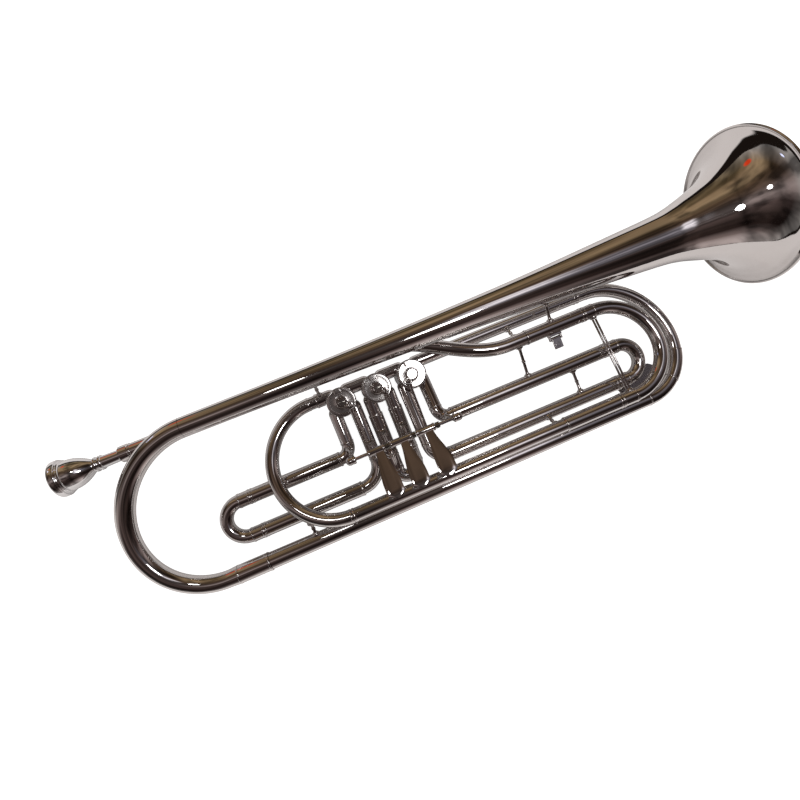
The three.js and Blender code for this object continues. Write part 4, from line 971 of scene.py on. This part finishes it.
class FLUGEL_OT_stop_arms(bpy.types.Operator):
    """Makes the stop arms with their slotted screws and ball pins"""

    bl_idname = "flugel.stop_arms"
    bl_label = "Stop arms"

    def execute(self, context):
        for i, x in enumerate(VALVE_XS):
            n = i + 1
            pin_x, pin_y = x + ARM_SIDES[i] * ARM_PLACE, -ARM_PLACE
            bm = bmesh.new()
            hub = Vector((x, 0, HUB_BOTTOM))
            turned(bm, [
                (0, 0), (5.2, 0), (5.7, 0.4), (5.7, 2.3), (5.5, 2.8), (5.1, 3.1), (4.7, 2.9), (4.4, 2.3),
                (3.75, 2.3), (3.6, 2.5), (3.4, 3.6), (3.1, 3.9), (0, 3.9),
            ], hub, Z_AXIS, sides=48)
            arm = Matrix.Translation(hub) @ Matrix.Rotation(math.atan2(pin_y, pin_x - x), 4, "Z")
            block(bm, (0, -1.9, 0.1), (STOP_ARM_REACH, 1.9, 2.7), edge=0.5, matrix=arm)
            drum(bm, (pin_x, pin_y, HUB_BOTTOM), (pin_x, pin_y, HUB_TOP - 0.1), 2.5, edge=0.4)
            drum(bm, (pin_x, pin_y, HUB_TOP - 0.2), (pin_x, pin_y, LINK_LEVEL - 0.6), 0.95, edge=0.15)
            ball(bm, (pin_x, pin_y, LINK_LEVEL + 0.5), 1.75)
            finish_piece(f"stop_arm_{n}", bm, f"rotor_{n}", [f"stop_arm_{n}"], flat=True)

            slot_top = HUB_BOTTOM + 3.93
            bm = bmesh.new()
            block(bm, (x - 3.1, -0.45, slot_top - 0.3), (x + 3.1, 0.45, slot_top), edge=0.05)
            finish_piece(f"screw_slot_{n}", bm, f"rotor_{n}", (), "wound_spring_steel")
        return {"FINISHED"}


# Levers
class FLUGEL_OT_levers(bpy.types.Operator):
    """Makes the touchpiece levers with their barrels, coil springs and drop arms"""

    bl_idname = "flugel.levers"
    bl_label = "Levers"

    def execute(self, context):
        side_gap = 0.5 * SEAM
        for i, touch_x in enumerate(TOUCH_XS):
            n = i + 1
            start_x, end_x = BARREL_BREAKS[i] + side_gap, BARREL_BREAKS[i + 1] - side_gap
            bore = AXLE + SEAM
            bm = bmesh.new()
            drum(bm, (start_x, AXLE_Y, AXLE_LEVEL), (end_x - BARREL_SPRING, AXLE_Y, AXLE_LEVEL), BARREL, bore)
            for x in (start_x + 1, end_x - BARREL_SPRING - 1):
                bead(bm, (x, AXLE_Y, AXLE_LEVEL), X_AXIS, BARREL, width=2, rise=0.45)
            self.touchpiece(bm, touch_x, 0.5 * (start_x + end_x))
            link_x = VALVE_XS[i] + ARM_SIDES[i] * (ARM_PLACE + LINK_PLAY)
            arm_x = link_x + 0.5 * LINK_EYE_THICKNESS + SEAM
            swing = Matrix.Translation((0, AXLE_Y, AXLE_LEVEL)) @ Matrix.Rotation(-0.5 * LEVER_SWING, 4, "X")
            block(bm, (arm_x, -2.4, -DROP_ARM), (arm_x + 2, 2.4, -bore), edge=0.35, matrix=swing)
            tip = Vector((0, DROP_TIP_Y, DROP_TIP_Z))
            drum(bm, tip + arm_x * X_AXIS, tip + (arm_x + 2) * X_AXIS, 2.5)
            drum(bm, tip + (link_x - 0.5 * LINK_EYE_THICKNESS - 1) * X_AXIS, tip + (arm_x + 0.5) * X_AXIS, 0.95, edge=0.2)
            finish_piece(f"lever_{n}", bm, f"lever_{n}", [f"lever_{n}"], flat=True)

            bm = bmesh.new()
            self.coil(bm, end_x - BARREL_SPRING + SEAM, end_x)
            finish_piece(f"lever_spring_{n}", bm, "horn", [f"lever_spring_{n}"], "wound_spring_steel")
        return {"FINISHED"}

    def touchpiece(self, bm, touch_x, barrel_x):
        """A dished paddle that widens from its neck on the barrel and curls down at the tip."""
        before = set(bm.verts)
        bmesh.ops.create_grid(bm, x_segments=16, y_segments=44, size=0.5)
        made = new_verts(bm, before)
        half, neck = 0.5 * TOUCH_WIDTH, 0.5 * TOUCH_NECK
        reach = math.hypot(TOUCH_REACH, TOUCH_RISE)
        pitch = math.atan2(TOUCH_RISE, TOUCH_REACH)
        for vert in made:
            share, aside = 0.5 - vert.co.y, 2 * vert.co.x
            grow = min(share / 0.72, 1)
            grow = grow * grow * (3 - 2 * grow)
            tip = max(share - 0.8, 0) / 0.2
            width = (neck + (half - neck) * grow) * (1 - 0.42 * tip**3)
            middle = barrel_x + (touch_x - barrel_x) * grow
            round_end = 1.8 * tip**2 * aside * aside
            sink = 0.45 * grow * aside**4 + 0.9 * tip**3
            far = share * reach - round_end
            vert.co = Vector((
                middle + aside * width,
                AXLE_Y - far * math.cos(pitch) - sink * math.sin(pitch),
                AXLE_LEVEL + 0.5 * BARREL + far * math.sin(pitch) - sink * math.cos(pitch),
            ))
        faces = list({face for vert in made for face in vert.link_faces})
        bmesh.ops.recalc_face_normals(bm, faces=faces)
        bmesh.ops.solidify(bm, geom=faces, thickness=TOUCH_THICKNESS)

    def coil(self, bm, start_x, end_x):
        """A return spring wound closely round the axle."""
        wire, mean = 0.42, 2.6
        turns = 5
        steps = 22 * turns
        centre = Vector((0, AXLE_Y, AXLE_LEVEL))
        travel = end_x - start_x - 2 * wire
        stations = []
        for i in range(steps + 1):
            angle = 2 * math.pi * turns * i / steps
            out = Vector((0, math.cos(angle), math.sin(angle)))
            at = centre + (start_x + wire + travel * i / steps) * X_AXIS + mean * out
            along = Vector((travel / (2 * math.pi * turns), -mean * math.sin(angle), mean * math.cos(angle)))
            stations.append((at, along.normalized(), out))
        loops = []
        for at, along, out in stations:
            basis = Matrix((out, along.cross(out), along)).transposed().to_4x4()
            made = bmesh.ops.create_circle(bm, segments=8, radius=wire, matrix=Matrix.Translation(at) @ basis)
            loops.append(list({edge for vert in made["verts"] for edge in vert.link_edges}))
        for before, after in zip(loops, loops[1:]):
            bmesh.ops.bridge_loops(bm, edges=before + after)
        bmesh.ops.holes_fill(bm, edges=loops[0] + loops[-1], sides=8)


class FLUGEL_OT_linkage(bpy.types.Operator):
    """Makes the connecting rods, the lever axle with its knobs, and the two brackets"""

    bl_idname = "flugel.linkage"
    bl_label = "Linkage"

    def execute(self, context):
        for i in range(3):
            n = i + 1
            x = VALVE_XS[i] + ARM_SIDES[i] * (ARM_PLACE + LINK_PLAY)
            lower = Vector((x, DROP_TIP_Y, DROP_TIP_Z))
            upper = Vector((x, -ARM_PLACE, LINK_LEVEL))
            half = 0.5 * LINK_EYE_THICKNESS
            way = (upper - lower).normalized()
            bm = bmesh.new()
            drum(bm, lower - half * X_AXIS, lower + half * X_AXIS, 2.3, 1.3, edge=0.3)
            drum(bm, upper - half * Z_AXIS, upper + half * Z_AXIS, LINK_EYE, LINK_BORE, edge=0.45)
            drum(bm, lower + 2 * way, upper - (LINK_EYE - 0.4) * way, 1.2, edge=0.2)
            drum(bm, upper - (LINK_EYE + 4) * way, upper - (LINK_EYE - 0.2) * way, 1.7, edge=0.25)
            drum(bm, lower + 1.8 * way, lower + 5.5 * way, 1.7, edge=0.25)
            finish_piece(f"link_rod_{n}", bm, f"link_{n}", [f"link_rod_{n}"], flat=True)

        bm = bmesh.new()
        axle = [Vector((x, AXLE_Y, AXLE_LEVEL)) for x in (
            AXLE_START_X, AXLE_START_X + KNOB_WIDTH, AXLE_END_X - KNOB_WIDTH, AXLE_END_X)]
        drum(bm, axle[0] + X_AXIS, axle[3] - X_AXIS, AXLE, edge=0.05)
        for at in (axle[0] + 0.5 * (axle[1] - axle[0]), axle[3] + 0.5 * (axle[2] - axle[3])):
            ball(bm, at, KNOB)
        for at, way in ((axle[1], X_AXIS), (axle[2], -X_AXIS)):
            drum(bm, at - 1.4 * way, at, 2.4, edge=0.3)
        finish_piece("lever_axle", bm, "horn", ["lever_axle"])

        inset = KNOB_WIDTH + SEAM + 1.8
        uppers = (
            ("axle_bracket_left", AXLE_START_X + inset, VALVE_XS[0] - PORT_OFFSET, -1, PORT_LEVEL, 0.25),
            ("axle_bracket_right", AXLE_END_X - inset, VALVE_XS[2] + PORT_OFFSET, 1, THIRD_LEVEL, 0.5),
        )
        for name, x, tube_x, way, level, share in uppers:
            start = Vector((tube_x, -PORT_START, PORT_LEVEL))
            corner = Vector((tube_x, SLIDE_UPPER_ROW, level))
            bend_start = corner + UPPER_ELBOW * (start - corner).normalized()
            bend_end = corner + way * UPPER_ELBOW * X_AXIS
            centre = bend_start + bend_end - corner
            angle = 0.5 * math.pi * share
            foot = centre + math.cos(angle) * (bend_start - centre) + math.sin(angle) * (bend_end - centre)
            top = Vector((x, AXLE_Y, AXLE_LEVEL))
            rise = (top - foot).normalized()
            length = (top - foot).length
            bm = bmesh.new()
            drum(bm, top - 1.8 * X_AXIS, top + 1.8 * X_AXIS, 4, AXLE + SEAM, edge=0.7)
            turned(bm, [
                (0, TUBE - 1), (3.6, TUBE - 1), (3.6, TUBE + 1), (3.3, TUBE + 1.5), (2.2, TUBE + 2.4), (1.6, TUBE + 4),
                (1.5, 0.5 * length), (1.6, length - 6), (2.2, length - 4.4), (2.4, length - 3.6), (0, length - 3.2),
            ], foot, rise, sides=36)
            finish_piece(name, bm, "horn", [name])
        return {"FINISHED"}


# Braces
def saddle(bm, at, way, radius, foot, height=1.2):
    """A round foot that stands on a tube, spread at its base."""
    turned(bm, [
        (0, radius - 1.2), (foot, radius - 1.2), (foot, radius + 0.2), (foot - 0.4, radius + 0.7 * height),
        (foot - 1.4, radius + height), (0, radius + height),
    ], at, way, sides=36)


def brace(bm, start, start_radius, end, end_radius, stem=1.5, foot=3.6):
    """A turned brace between two tubes: a foot at each end and a stem with a ring at its middle."""
    way = (end - start).normalized()
    length = (end - start).length
    saddle(bm, start, way, start_radius, foot)
    saddle(bm, end, -way, end_radius, foot)
    low, high = start_radius + 1, length - end_radius - 1
    middle = 0.5 * (low + high)
    flare = min(2.4, 0.25 * (high - low))
    turned(bm, [
        (0, low), (stem + 0.9, low), (stem + 0.3, low + 0.4 * flare), (stem, low + flare), (stem, middle - 1.2),
        (stem + 0.45, middle - 0.7), (stem + 0.45, middle + 0.7), (stem, middle + 1.2), (stem, high - flare),
        (stem + 0.3, high - 0.4 * flare), (stem + 0.9, high), (0, high),
    ], start, way, sides=32)


class FLUGEL_OT_braces(bpy.types.Operator):
    """Turns the braces between the tubes"""

    bl_idname = "flugel.braces"
    bl_label = "Braces"

    def execute(self, context):
        machine_x, outlet_x, bell_x, tube_x, third_x = -52, 144, 181.5, 189, 147
        wide = TUBE + FERRULE_WALL

        def port_at(x):
            return Vector((x, PORT_ROW, PORT_LEVEL))

        def third_at(x, row):
            return Vector((x, row, THIRD_LEVEL))

        arm = 0.5 * (PORT_ROW - INNER_ROW)
        loop = bow(
            inner_at(D_LOOP_X + arm), Vector((D_LOOP_X + arm, PORT_ROW, PORT_LEVEL)), D_LOOP_X, 12)
        loop_at, loop_along = loop[3]
        loop_foot = Vector((loop_at.x, OUTER_ROW, OUTER_LEVEL))
        plans = {
            "brace_bell_machine": (bell_at(machine_x), bell_radius(machine_x), port_at(machine_x), wide),
            "brace_d_loop": (loop_at, BOW / abs(loop_along.x), loop_foot, LOWER_TUBE),
            "brace_bell_leadpipe": (bell_at(bell_x), bell_radius(bell_x + 3.6), tuning_at(bell_x), SLEEVE),
            "brace_outlet_leadpipe": (port_at(outlet_x), TUBE, tuning_at(outlet_x), LEAD_CURVE),
            "brace_leadpipe_third": (
                tuning_at(outlet_x), LEAD_CURVE, third_at(outlet_x, SLIDE_UPPER_ROW), SLEEVE),
            "brace_third_slide": (
                third_at(tube_x, SLIDE_UPPER_ROW), SLEEVE, third_at(tube_x, SLIDE_LOWER_ROW), SLEEVE),
            "brace_third_lower": (third_at(third_x, SLIDE_LOWER_ROW), SLEEVE, inner_at(third_x), TUBE),
        }
        for name, (start, start_radius, end, end_radius) in plans.items():
            bm = bmesh.new()
            brace(bm, start, start_radius, end, end_radius)
            finish_piece(name, bm, "horn", [name])
        return {"FINISHED"}


# Water key
class FLUGEL_OT_water_key(bpy.types.Operator):
    """Makes the water key with its saddle, ears and cork pad"""

    bl_idname = "flugel.water_key"
    bl_label = "Water key"

    def execute(self, context):
        x, width, ear = 181, 13, 1.6
        half = 0.5 * width
        axis_y = TUNING_ROW - SLEEVE - 4
        bm = bmesh.new()
        block(bm, (x - half, TUNING_ROW - SLEEVE - 1.6, TUNING_LEVEL - 3.3),
              (x + half, TUNING_ROW - SLEEVE + 0.6, TUNING_LEVEL + 3.3), edge=0.5)
        for low, high in ((x - half, x - half + ear), (x + half - ear, x + half)):
            block(bm, (low, axis_y - 2, TUNING_LEVEL - 2), (high, TUNING_ROW - SLEEVE - 0.5, TUNING_LEVEL + 2), edge=0.45)
        finish_piece("water_key_saddle", bm, "horn", ["water_key_saddle"], flat=True)

        inside = half - ear - SEAM
        bm = bmesh.new()
        drum(bm, (x - inside, axis_y, TUNING_LEVEL), (x + inside, axis_y, TUNING_LEVEL), 1.7)
        drum(bm, (x - half, axis_y, TUNING_LEVEL), (x + half, axis_y, TUNING_LEVEL), 0.9, edge=0.2)
        block(bm, (x - inside, axis_y - 10.5, TUNING_LEVEL + 0.3), (x + inside, axis_y, TUNING_LEVEL + 1.6), edge=0.5)
        drum(bm, (x, axis_y - 6.5, TUNING_LEVEL + 1.2), (x, axis_y - 6.5, TUNING_LEVEL + 1.65), 2.6, edge=0.15)
        finish_piece("water_key", bm, "water_key", ["water_key"], flat=True)

        bm = bmesh.new()
        drum(bm, (x, axis_y - 6.5, TUNING_LEVEL - 1), (x, axis_y - 6.5, TUNING_LEVEL + 0.4), 2.4, edge=0.3)
        finish_piece("water_key_cork", bm, "water_key", (), "pressed_cork")
        return {"FINISHED"}


# Guard plate
class FLUGEL_OT_guard_plate(bpy.types.Operator):
    """Cuts the flat guard plate and the lugs that hold it to the outer bow"""

    bl_idname = "flugel.guard_plate"
    bl_label = "Guard plate"

    def execute(self, context):
        thickness = 1.2
        top = THIRD_LEVEL - SLEEVE - 2 * SEAM
        corners = [(228, -90), (258, -78), (271, -81.5), (275, -85), (284, -92), (285, -99), (266, -112), (238, -113)]
        bm = bmesh.new()
        base = bm.faces.new([bm.verts.new((x, y, top - thickness)) for x, y in corners])
        lifted = bmesh.ops.extrude_face_region(bm, geom=[base])
        verts = [item for item in lifted["geom"] if isinstance(item, bmesh.types.BMVert)]
        bmesh.ops.translate(bm, verts=verts, vec=thickness * Z_AXIS)
        upright = [e for e in bm.edges if abs(e.verts[0].co.z - e.verts[1].co.z) > 0.5 * thickness]
        bmesh.ops.bevel(
            bm, geom=upright, offset=2, offset_type="OFFSET", affect="EDGES", segments=5, profile=0.5, material=-1)
        bmesh.ops.bevel(
            bm, geom=list(bm.edges), offset=0.25, offset_type="OFFSET", affect="EDGES", segments=2, profile=0.5,
            material=-1)
        run = bow(
            Vector((OUTER_BOW_END_X, OUTER_ROW, OUTER_LEVEL)), Vector((OUTER_BOW_START_X, PORT_ROW, PORT_LEVEL)),
            OUTER_BOW_X, 12)
        for station in (1, 3):
            at = run[station][0]
            foot = Vector((at.x, at.y, top - 0.6))
            drum(bm, foot, at - 5 * Z_AXIS, 3.4, edge=0.4)
        finish_piece("bow_guard_plate", bm, "horn", ["bow_guard_plate"], "satin_nickel_plate", flat=True)
        return {"FINISHED"}


# Kept solids
class FLUGEL_OT_rotors(bpy.types.Operator):
    """Gives the rotors inside the casings their lapped brass"""

    bl_idname = "flugel.rotors"
    bl_label = "Rotors"

    def execute(self, context):
        for n in (1, 2, 3):
            rotor = frame["nodes"][f"valve_rotor_{n}"]
            rotor.data.materials.clear()
            rotor.data.materials.append(materials()["lapped_brass"])
        return {"FINISHED"}


# Stage
class StageSettings(bpy.types.PropertyGroup):
    """Camera, lamps and floor."""

    camera_height: FloatProperty(
        name="Camera height", description="Height of the camera over the bell's axis", unit="LENGTH",
        default=0.4649, min=0.2, max=3)
    view_angle: FloatProperty(
        name="Angle of view", description="Angle that the square picture takes in", subtype="ANGLE",
        default=2 * math.atan(400 / 504.5), min=0.1, max=2.5)
    window_strength: FloatProperty(
        name="Window strength", description="Brightness of the tall window lamps", default=9, min=0, max=60)


class FLUGEL_OT_stage(bpy.types.Operator):
    """Sets up the white floor, the lamps, the room that the plating reflects, and the camera"""

    bl_idname = "flugel.stage"
    bl_label = "Stage"

    def execute(self, context):
        scene = context.scene
        settings = scene.flugel_stage
        self.floor(scene)
        self.room(scene)
        self.lamps(scene, settings)
        self.camera(scene, settings)
        scene.view_settings.view_transform = "Standard"
        return {"FINISHED"}

    def floor(self, scene):
        """A floor that shows white and holds a faint shadow; in the plating it glows as a pale sheet that turns dark
        brown beyond, with painted shade where the horn stands close over it.
        """
        bm = bmesh.new()
        bmesh.ops.create_grid(bm, x_segments=1, y_segments=1, size=4)
        mesh = bpy.data.meshes.new("floor")
        bm.to_mesh(mesh)
        bm.free()
        floor = bpy.data.objects.new("floor", mesh)
        scene.collection.objects.link(floor)
        made, tree, output = blank_material("white_floor")
        path = add_node(tree, "ShaderNodeLightPath")
        place = add_node(tree, "ShaderNodeTexCoord").outputs["Object"]
        axes = add_node(tree, "ShaderNodeSeparateXYZ", {"Vector": place})
        lean = add_node(tree, "ShaderNodeMath", {0: axes.outputs["X"], 1: 0.35}, operation="MULTIPLY")
        far_up = add_node(tree, "ShaderNodeMath", {0: axes.outputs["Y"], 1: lean.outputs[0]}, operation="SUBTRACT")
        past_up = add_node(tree, "ShaderNodeMath", {0: far_up.outputs[0], 1: 0.31}, operation="SUBTRACT")
        far_x = add_node(tree, "ShaderNodeMath", {0: axes.outputs["X"]}, operation="ABSOLUTE")
        past_x = add_node(tree, "ShaderNodeMath", {0: far_x.outputs[0], 1: 0.85}, operation="SUBTRACT")
        past = add_node(tree, "ShaderNodeMath", {0: past_up.outputs[0], 1: past_x.outputs[0]}, operation="MAXIMUM")
        sheet = add_node(tree, "ShaderNodeMapRange", {
            "Value": past.outputs[0], "From Min": -0.02, "From Max": 0.03, "To Min": 1, "To Max": 0,
        })
        pale = add_node(tree, "ShaderNodeMix", {"Factor": sheet.outputs["Result"]}, data_type="RGBA")
        pale.inputs["A"].default_value = linear("#1d1714")
        pale.inputs["B"].default_value = linear("#e6e0de")
        # Painted shade: ambient occlusion dims the floor's glow in the plating where the horn stands close over it.
        cover = add_node(tree, "ShaderNodeAmbientOcclusion", {"Distance": 0.14}, samples=6)
        painted_near_shade = add_node(tree, "ShaderNodeMapRange", {
            "Value": cover.outputs["AO"], "From Min": 0.45, "From Max": 0.97, "To Min": 0.22, "To Max": 1})
        mirrored = add_node(tree, "ShaderNodeEmission", {
            "Color": pale.outputs["Result"], "Strength": painted_near_shade.outputs["Result"]})
        matt = add_node(tree, "ShaderNodeBsdfDiffuse", {"Color": linear("#e6e6e6")})
        glow = add_node(tree, "ShaderNodeEmission", {"Color": (1, 1, 1, 1), "Strength": 0.9})
        seen = add_node(tree, "ShaderNodeAddShader", {0: matt.outputs[0], 1: glow.outputs[0]})
        plain = add_node(tree, "ShaderNodeMixShader", {"Fac": path.outputs["Is Camera Ray"]})
        tree.links.new(matt.outputs[0], plain.inputs[1])
        tree.links.new(seen.outputs[0], plain.inputs[2])
        shown = add_node(tree, "ShaderNodeMixShader", {"Fac": path.outputs["Is Glossy Ray"]})
        tree.links.new(plain.outputs[0], shown.inputs[1])
        tree.links.new(mirrored.outputs[0], shown.inputs[2])
        tree.links.new(shown.outputs[0], output.inputs["Surface"])
        mesh.materials.append(made)

    def room(self, scene):
        """White to the camera; a dim brown room with paler patches to the plating."""
        world = bpy.data.worlds.new("studio")
        scene.world = world
        world.use_nodes = True
        tree = world.node_tree
        tree.nodes.clear()
        output = add_node(tree, "ShaderNodeOutputWorld")
        path = add_node(tree, "ShaderNodeLightPath")
        way = add_node(tree, "ShaderNodeTexCoord").outputs["Generated"]
        axes = add_node(tree, "ShaderNodeSeparateXYZ", {"Vector": way})
        across = add_node(tree, "ShaderNodeMapRange", {"Value": axes.outputs["Y"], "From Min": -1, "From Max": 1})
        tones = add_node(tree, "ShaderNodeValToRGB", {"Fac": across.outputs["Result"]})
        stops = (
            (0, "#8a807e"), (0.05, "#524846"), (0.125, "#1f1715"), (0.25, "#231c1a"), (0.375, "#3c3230"),
            (0.5, "#6b615f"), (0.625, "#40352f"), (0.75, "#423427"), (0.85, "#6b5b46"), (0.925, "#75624b"),
            (0.975, "#54462f"), (1, "#6f5f44"))
        self.fill_ramp(tones, [(place, linear(colour)) for place, colour in stops])
        low = add_node(tree, "ShaderNodeMapRange", {
            "Value": axes.outputs["Z"], "From Min": 0, "From Max": 0.35, "To Min": 1, "To Max": 0})
        left = add_node(tree, "ShaderNodeMapRange", {
            "Value": axes.outputs["X"], "From Min": 0.4, "From Max": -0.7})
        horizon = add_node(tree, "ShaderNodeMath", {
            0: low.outputs["Result"], 1: left.outputs["Result"]}, operation="MULTIPLY")
        walls = add_node(tree, "ShaderNodeMix", {"Factor": horizon.outputs[0]}, data_type="RGBA")
        tree.links.new(tones.outputs["Color"], walls.inputs["A"])
        walls.inputs["B"].default_value = linear("#6e6b69")
        above = add_node(tree, "ShaderNodeVectorMath", {0: way, 1: (0.38, -0.03, 0.92)}, operation="DISTANCE")
        sky = add_node(tree, "ShaderNodeMapRange", {
            "Value": above.outputs["Value"], "From Min": 0.05, "From Max": 0.36, "To Min": 0.8, "To Max": 0},
            interpolation_type="SMOOTHSTEP")
        hazy = add_node(tree, "ShaderNodeMix", {"Factor": sky.outputs["Result"]}, data_type="RGBA")
        tree.links.new(walls.outputs["Result"], hazy.inputs["A"])
        hazy.inputs["B"].default_value = linear("#88858e")
        squeezed = add_node(tree, "ShaderNodeVectorMath", {0: way, 1: (1, 0.5, 0.5)}, operation="MULTIPLY")
        window = add_node(tree, "ShaderNodeVectorMath", {
            0: squeezed.outputs["Vector"], 1: (0.21, 0.04, 0.485)}, operation="DISTANCE")
        glare = add_node(tree, "ShaderNodeMapRange", {
            "Value": window.outputs["Value"], "From Min": 0.03, "From Max": 0.15, "To Min": 0.95, "To Max": 0},
            interpolation_type="SMOOTHSTEP")
        lit = add_node(tree, "ShaderNodeMix", {"Factor": glare.outputs["Result"]}, data_type="RGBA")
        tree.links.new(hazy.outputs["Result"], lit.inputs["A"])
        lit.inputs["B"].default_value = linear("#d8d4da")
        stretch = add_node(tree, "ShaderNodeMapping", {"Vector": way, "Scale": (1, 1.6, 0.6)})
        shapes = add_node(tree, "ShaderNodeTexNoise", {
            "Vector": stretch.outputs["Vector"], "Scale": 2.6, "Detail": 2, "Roughness": 0.5})
        depth = add_node(tree, "ShaderNodeMapRange", {
            "Value": shapes.outputs["Fac"], "From Min": 0.38, "From Max": 0.62, "To Min": 0.5, "To Max": 1.7})
        cloth = add_node(tree, "ShaderNodeVectorMath", {0: way, 1: (-0.36, 0.89, 0.27)}, operation="DISTANCE")
        spot = add_node(tree, "ShaderNodeMapRange", {
            "Value": cloth.outputs["Value"], "From Min": 0.05, "From Max": 0.09, "To Min": 1, "To Max": 0})
        coloured = add_node(tree, "ShaderNodeMix", {"Factor": spot.outputs["Result"]}, data_type="RGBA")
        tree.links.new(lit.outputs["Result"], coloured.inputs["A"])
        coloured.inputs["B"].default_value = linear("#c4391a")
        along = add_node(tree, "ShaderNodeMapRange", {"Value": axes.outputs["X"], "From Min": -1, "From Max": 1})
        bands = add_node(tree, "ShaderNodeValToRGB", {"Fac": along.outputs["Result"]})
        levels = (
            (0, 0.8), (0.12, 0.42), (0.24, 0.85), (0.36, 0.7), (0.44, 0.36), (0.5, 0.6), (0.6, 0.85), (0.7, 0.6),
            (0.8, 0.28), (0.92, 0.7), (1, 0.8))
        self.fill_ramp(bands, [(place, [level] * 3 + [1]) for place, level in levels])
        strength = add_node(tree, "ShaderNodeMath", {
            0: depth.outputs["Result"], 1: bands.outputs["Color"]}, operation="MULTIPLY")
        doubled = add_node(tree, "ShaderNodeMath", {0: strength.outputs[0], 1: 2}, operation="MULTIPLY")
        dim = add_node(tree, "ShaderNodeBackground", {
            "Color": coloured.outputs["Result"], "Strength": doubled.outputs[0]})
        white = add_node(tree, "ShaderNodeBackground", {"Color": (1, 1, 1, 1), "Strength": 1})
        soft = add_node(tree, "ShaderNodeBackground", {"Color": linear("#f2efec"), "Strength": 0.5})
        first = add_node(tree, "ShaderNodeMixShader", {"Fac": path.outputs["Is Glossy Ray"]})
        tree.links.new(soft.outputs[0], first.inputs[1])
        tree.links.new(dim.outputs[0], first.inputs[2])
        both = add_node(tree, "ShaderNodeMixShader", {"Fac": path.outputs["Is Camera Ray"]})
        tree.links.new(first.outputs[0], both.inputs[1])
        tree.links.new(white.outputs[0], both.inputs[2])
        tree.links.new(both.outputs[0], output.inputs["Surface"])

    def fill_ramp(self, node, stops):
        """Gives a ramp its stops, each a place and a linear colour."""
        ramp = node.color_ramp
        while len(ramp.elements) < len(stops):
            ramp.elements.new(0.5)
        for element, (place, colour) in zip(ramp.elements, stops):
            element.position = place
            element.color = colour

    def lamps(self, scene, settings):
        """A broad ceiling lamp over the valves, a smaller one behind, and the windows of the far walls."""
        plans = (
            ("ceiling_lamp", (0.18, -0.1, 1.5), (0.27, 0.3), 12, 1, "#ffffff"),
            ("round_lamp", (-0.287, 0.187, 0.9), (0.1, 0.1), 0, 1, "#ffffff"),
            ("small_window", (-0.73, 0.576, 0.268), (0.1, 0.07), 0, 0.2, "#c8d4ff"),
        )
        for name, place, (wide, deep), turned_by, share, colour in plans:
            lamp = bpy.data.lights.new(name, "AREA")
            lamp.shape = "ELLIPSE"
            lamp.size, lamp.size_y = wide, deep
            lamp.color = linear(colour)[:3]
            lamp.energy = 0.25 * share * settings.window_strength * wide * deep * math.pi**2
            made = bpy.data.objects.new(name, lamp)
            place = Vector(place)
            facing = (-place).to_track_quat("-Z", "Y").to_matrix().to_4x4()
            if turned_by:
                facing = Matrix.Rotation(math.radians(turned_by), 4, "Z")
            made.matrix_world = Matrix.Translation(place) @ facing
            scene.collection.objects.link(made)

    def camera(self, scene, settings):
        """The camera over the lever side, tipped and rolled as in the photograph."""
        sway, tip, roll = math.radians(5.34), math.radians(3), math.radians(22.25)
        forward = Vector((math.sin(sway), -math.sin(tip) * math.cos(sway), -math.cos(tip) * math.cos(sway)))
        forward.normalize()
        right = (X_AXIS - X_AXIS.dot(forward) * forward).normalized()
        down = forward.cross(right)
        picture_right = math.cos(roll) * right + math.sin(roll) * down
        picture_up = math.sin(roll) * right - math.cos(roll) * down
        turn_in_horn = Matrix((picture_right, picture_up, -forward)).transposed()
        horn_turn = HORN.to_3x3().normalized()
        eye = Vector((-27.5, 6.1, 1000 * settings.camera_height))
        data = bpy.data.cameras.new("camera")
        data.lens_unit = "FOV"
        data.angle = settings.view_angle
        made = bpy.data.objects.new("camera", data)
        made.matrix_world = Matrix.Translation(HORN @ eye) @ (horn_turn @ turn_in_horn).to_4x4()
        scene.collection.objects.link(made)
        scene.camera = made


STEPS = (
    FLUGEL_OT_bell, FLUGEL_OT_outer_loop, FLUGEL_OT_mouthpiece, FLUGEL_OT_leadpipe, FLUGEL_OT_tuning_slide,
    FLUGEL_OT_inner_loop, FLUGEL_OT_valve_slides, FLUGEL_OT_valves, FLUGEL_OT_stop_arms, FLUGEL_OT_levers,
    FLUGEL_OT_linkage, FLUGEL_OT_braces, FLUGEL_OT_water_key, FLUGEL_OT_guard_plate, FLUGEL_OT_rotors,
    FLUGEL_OT_stage,
)


class FLUGEL_PT_panel(bpy.types.Panel):
    """Lists the steps that build the horn."""

    bl_idname = "FLUGEL_PT_panel"
    bl_label = "Flugelhorn"
    bl_space_type = "VIEW_3D"
    bl_region_type = "UI"
    bl_category = "Flugelhorn"

    def draw(self, context):
        for step in STEPS:
            self.layout.operator(step.bl_idname)


CLASSES = (StageSettings, *STEPS, FLUGEL_PT_panel)


def register():
    for made in CLASSES:
        bpy.utils.register_class(made)
    bpy.types.Scene.flugel_stage = PointerProperty(type=StageSettings)


def unregister():
    del bpy.types.Scene.flugel_stage
    for made in reversed(CLASSES):
        bpy.utils.unregister_class(made)


def main():
    register()
    for step in STEPS:
        group, name = step.bl_idname.split(".")
        getattr(getattr(bpy.ops, group), name)()


if __name__ == "__main__":
    main()
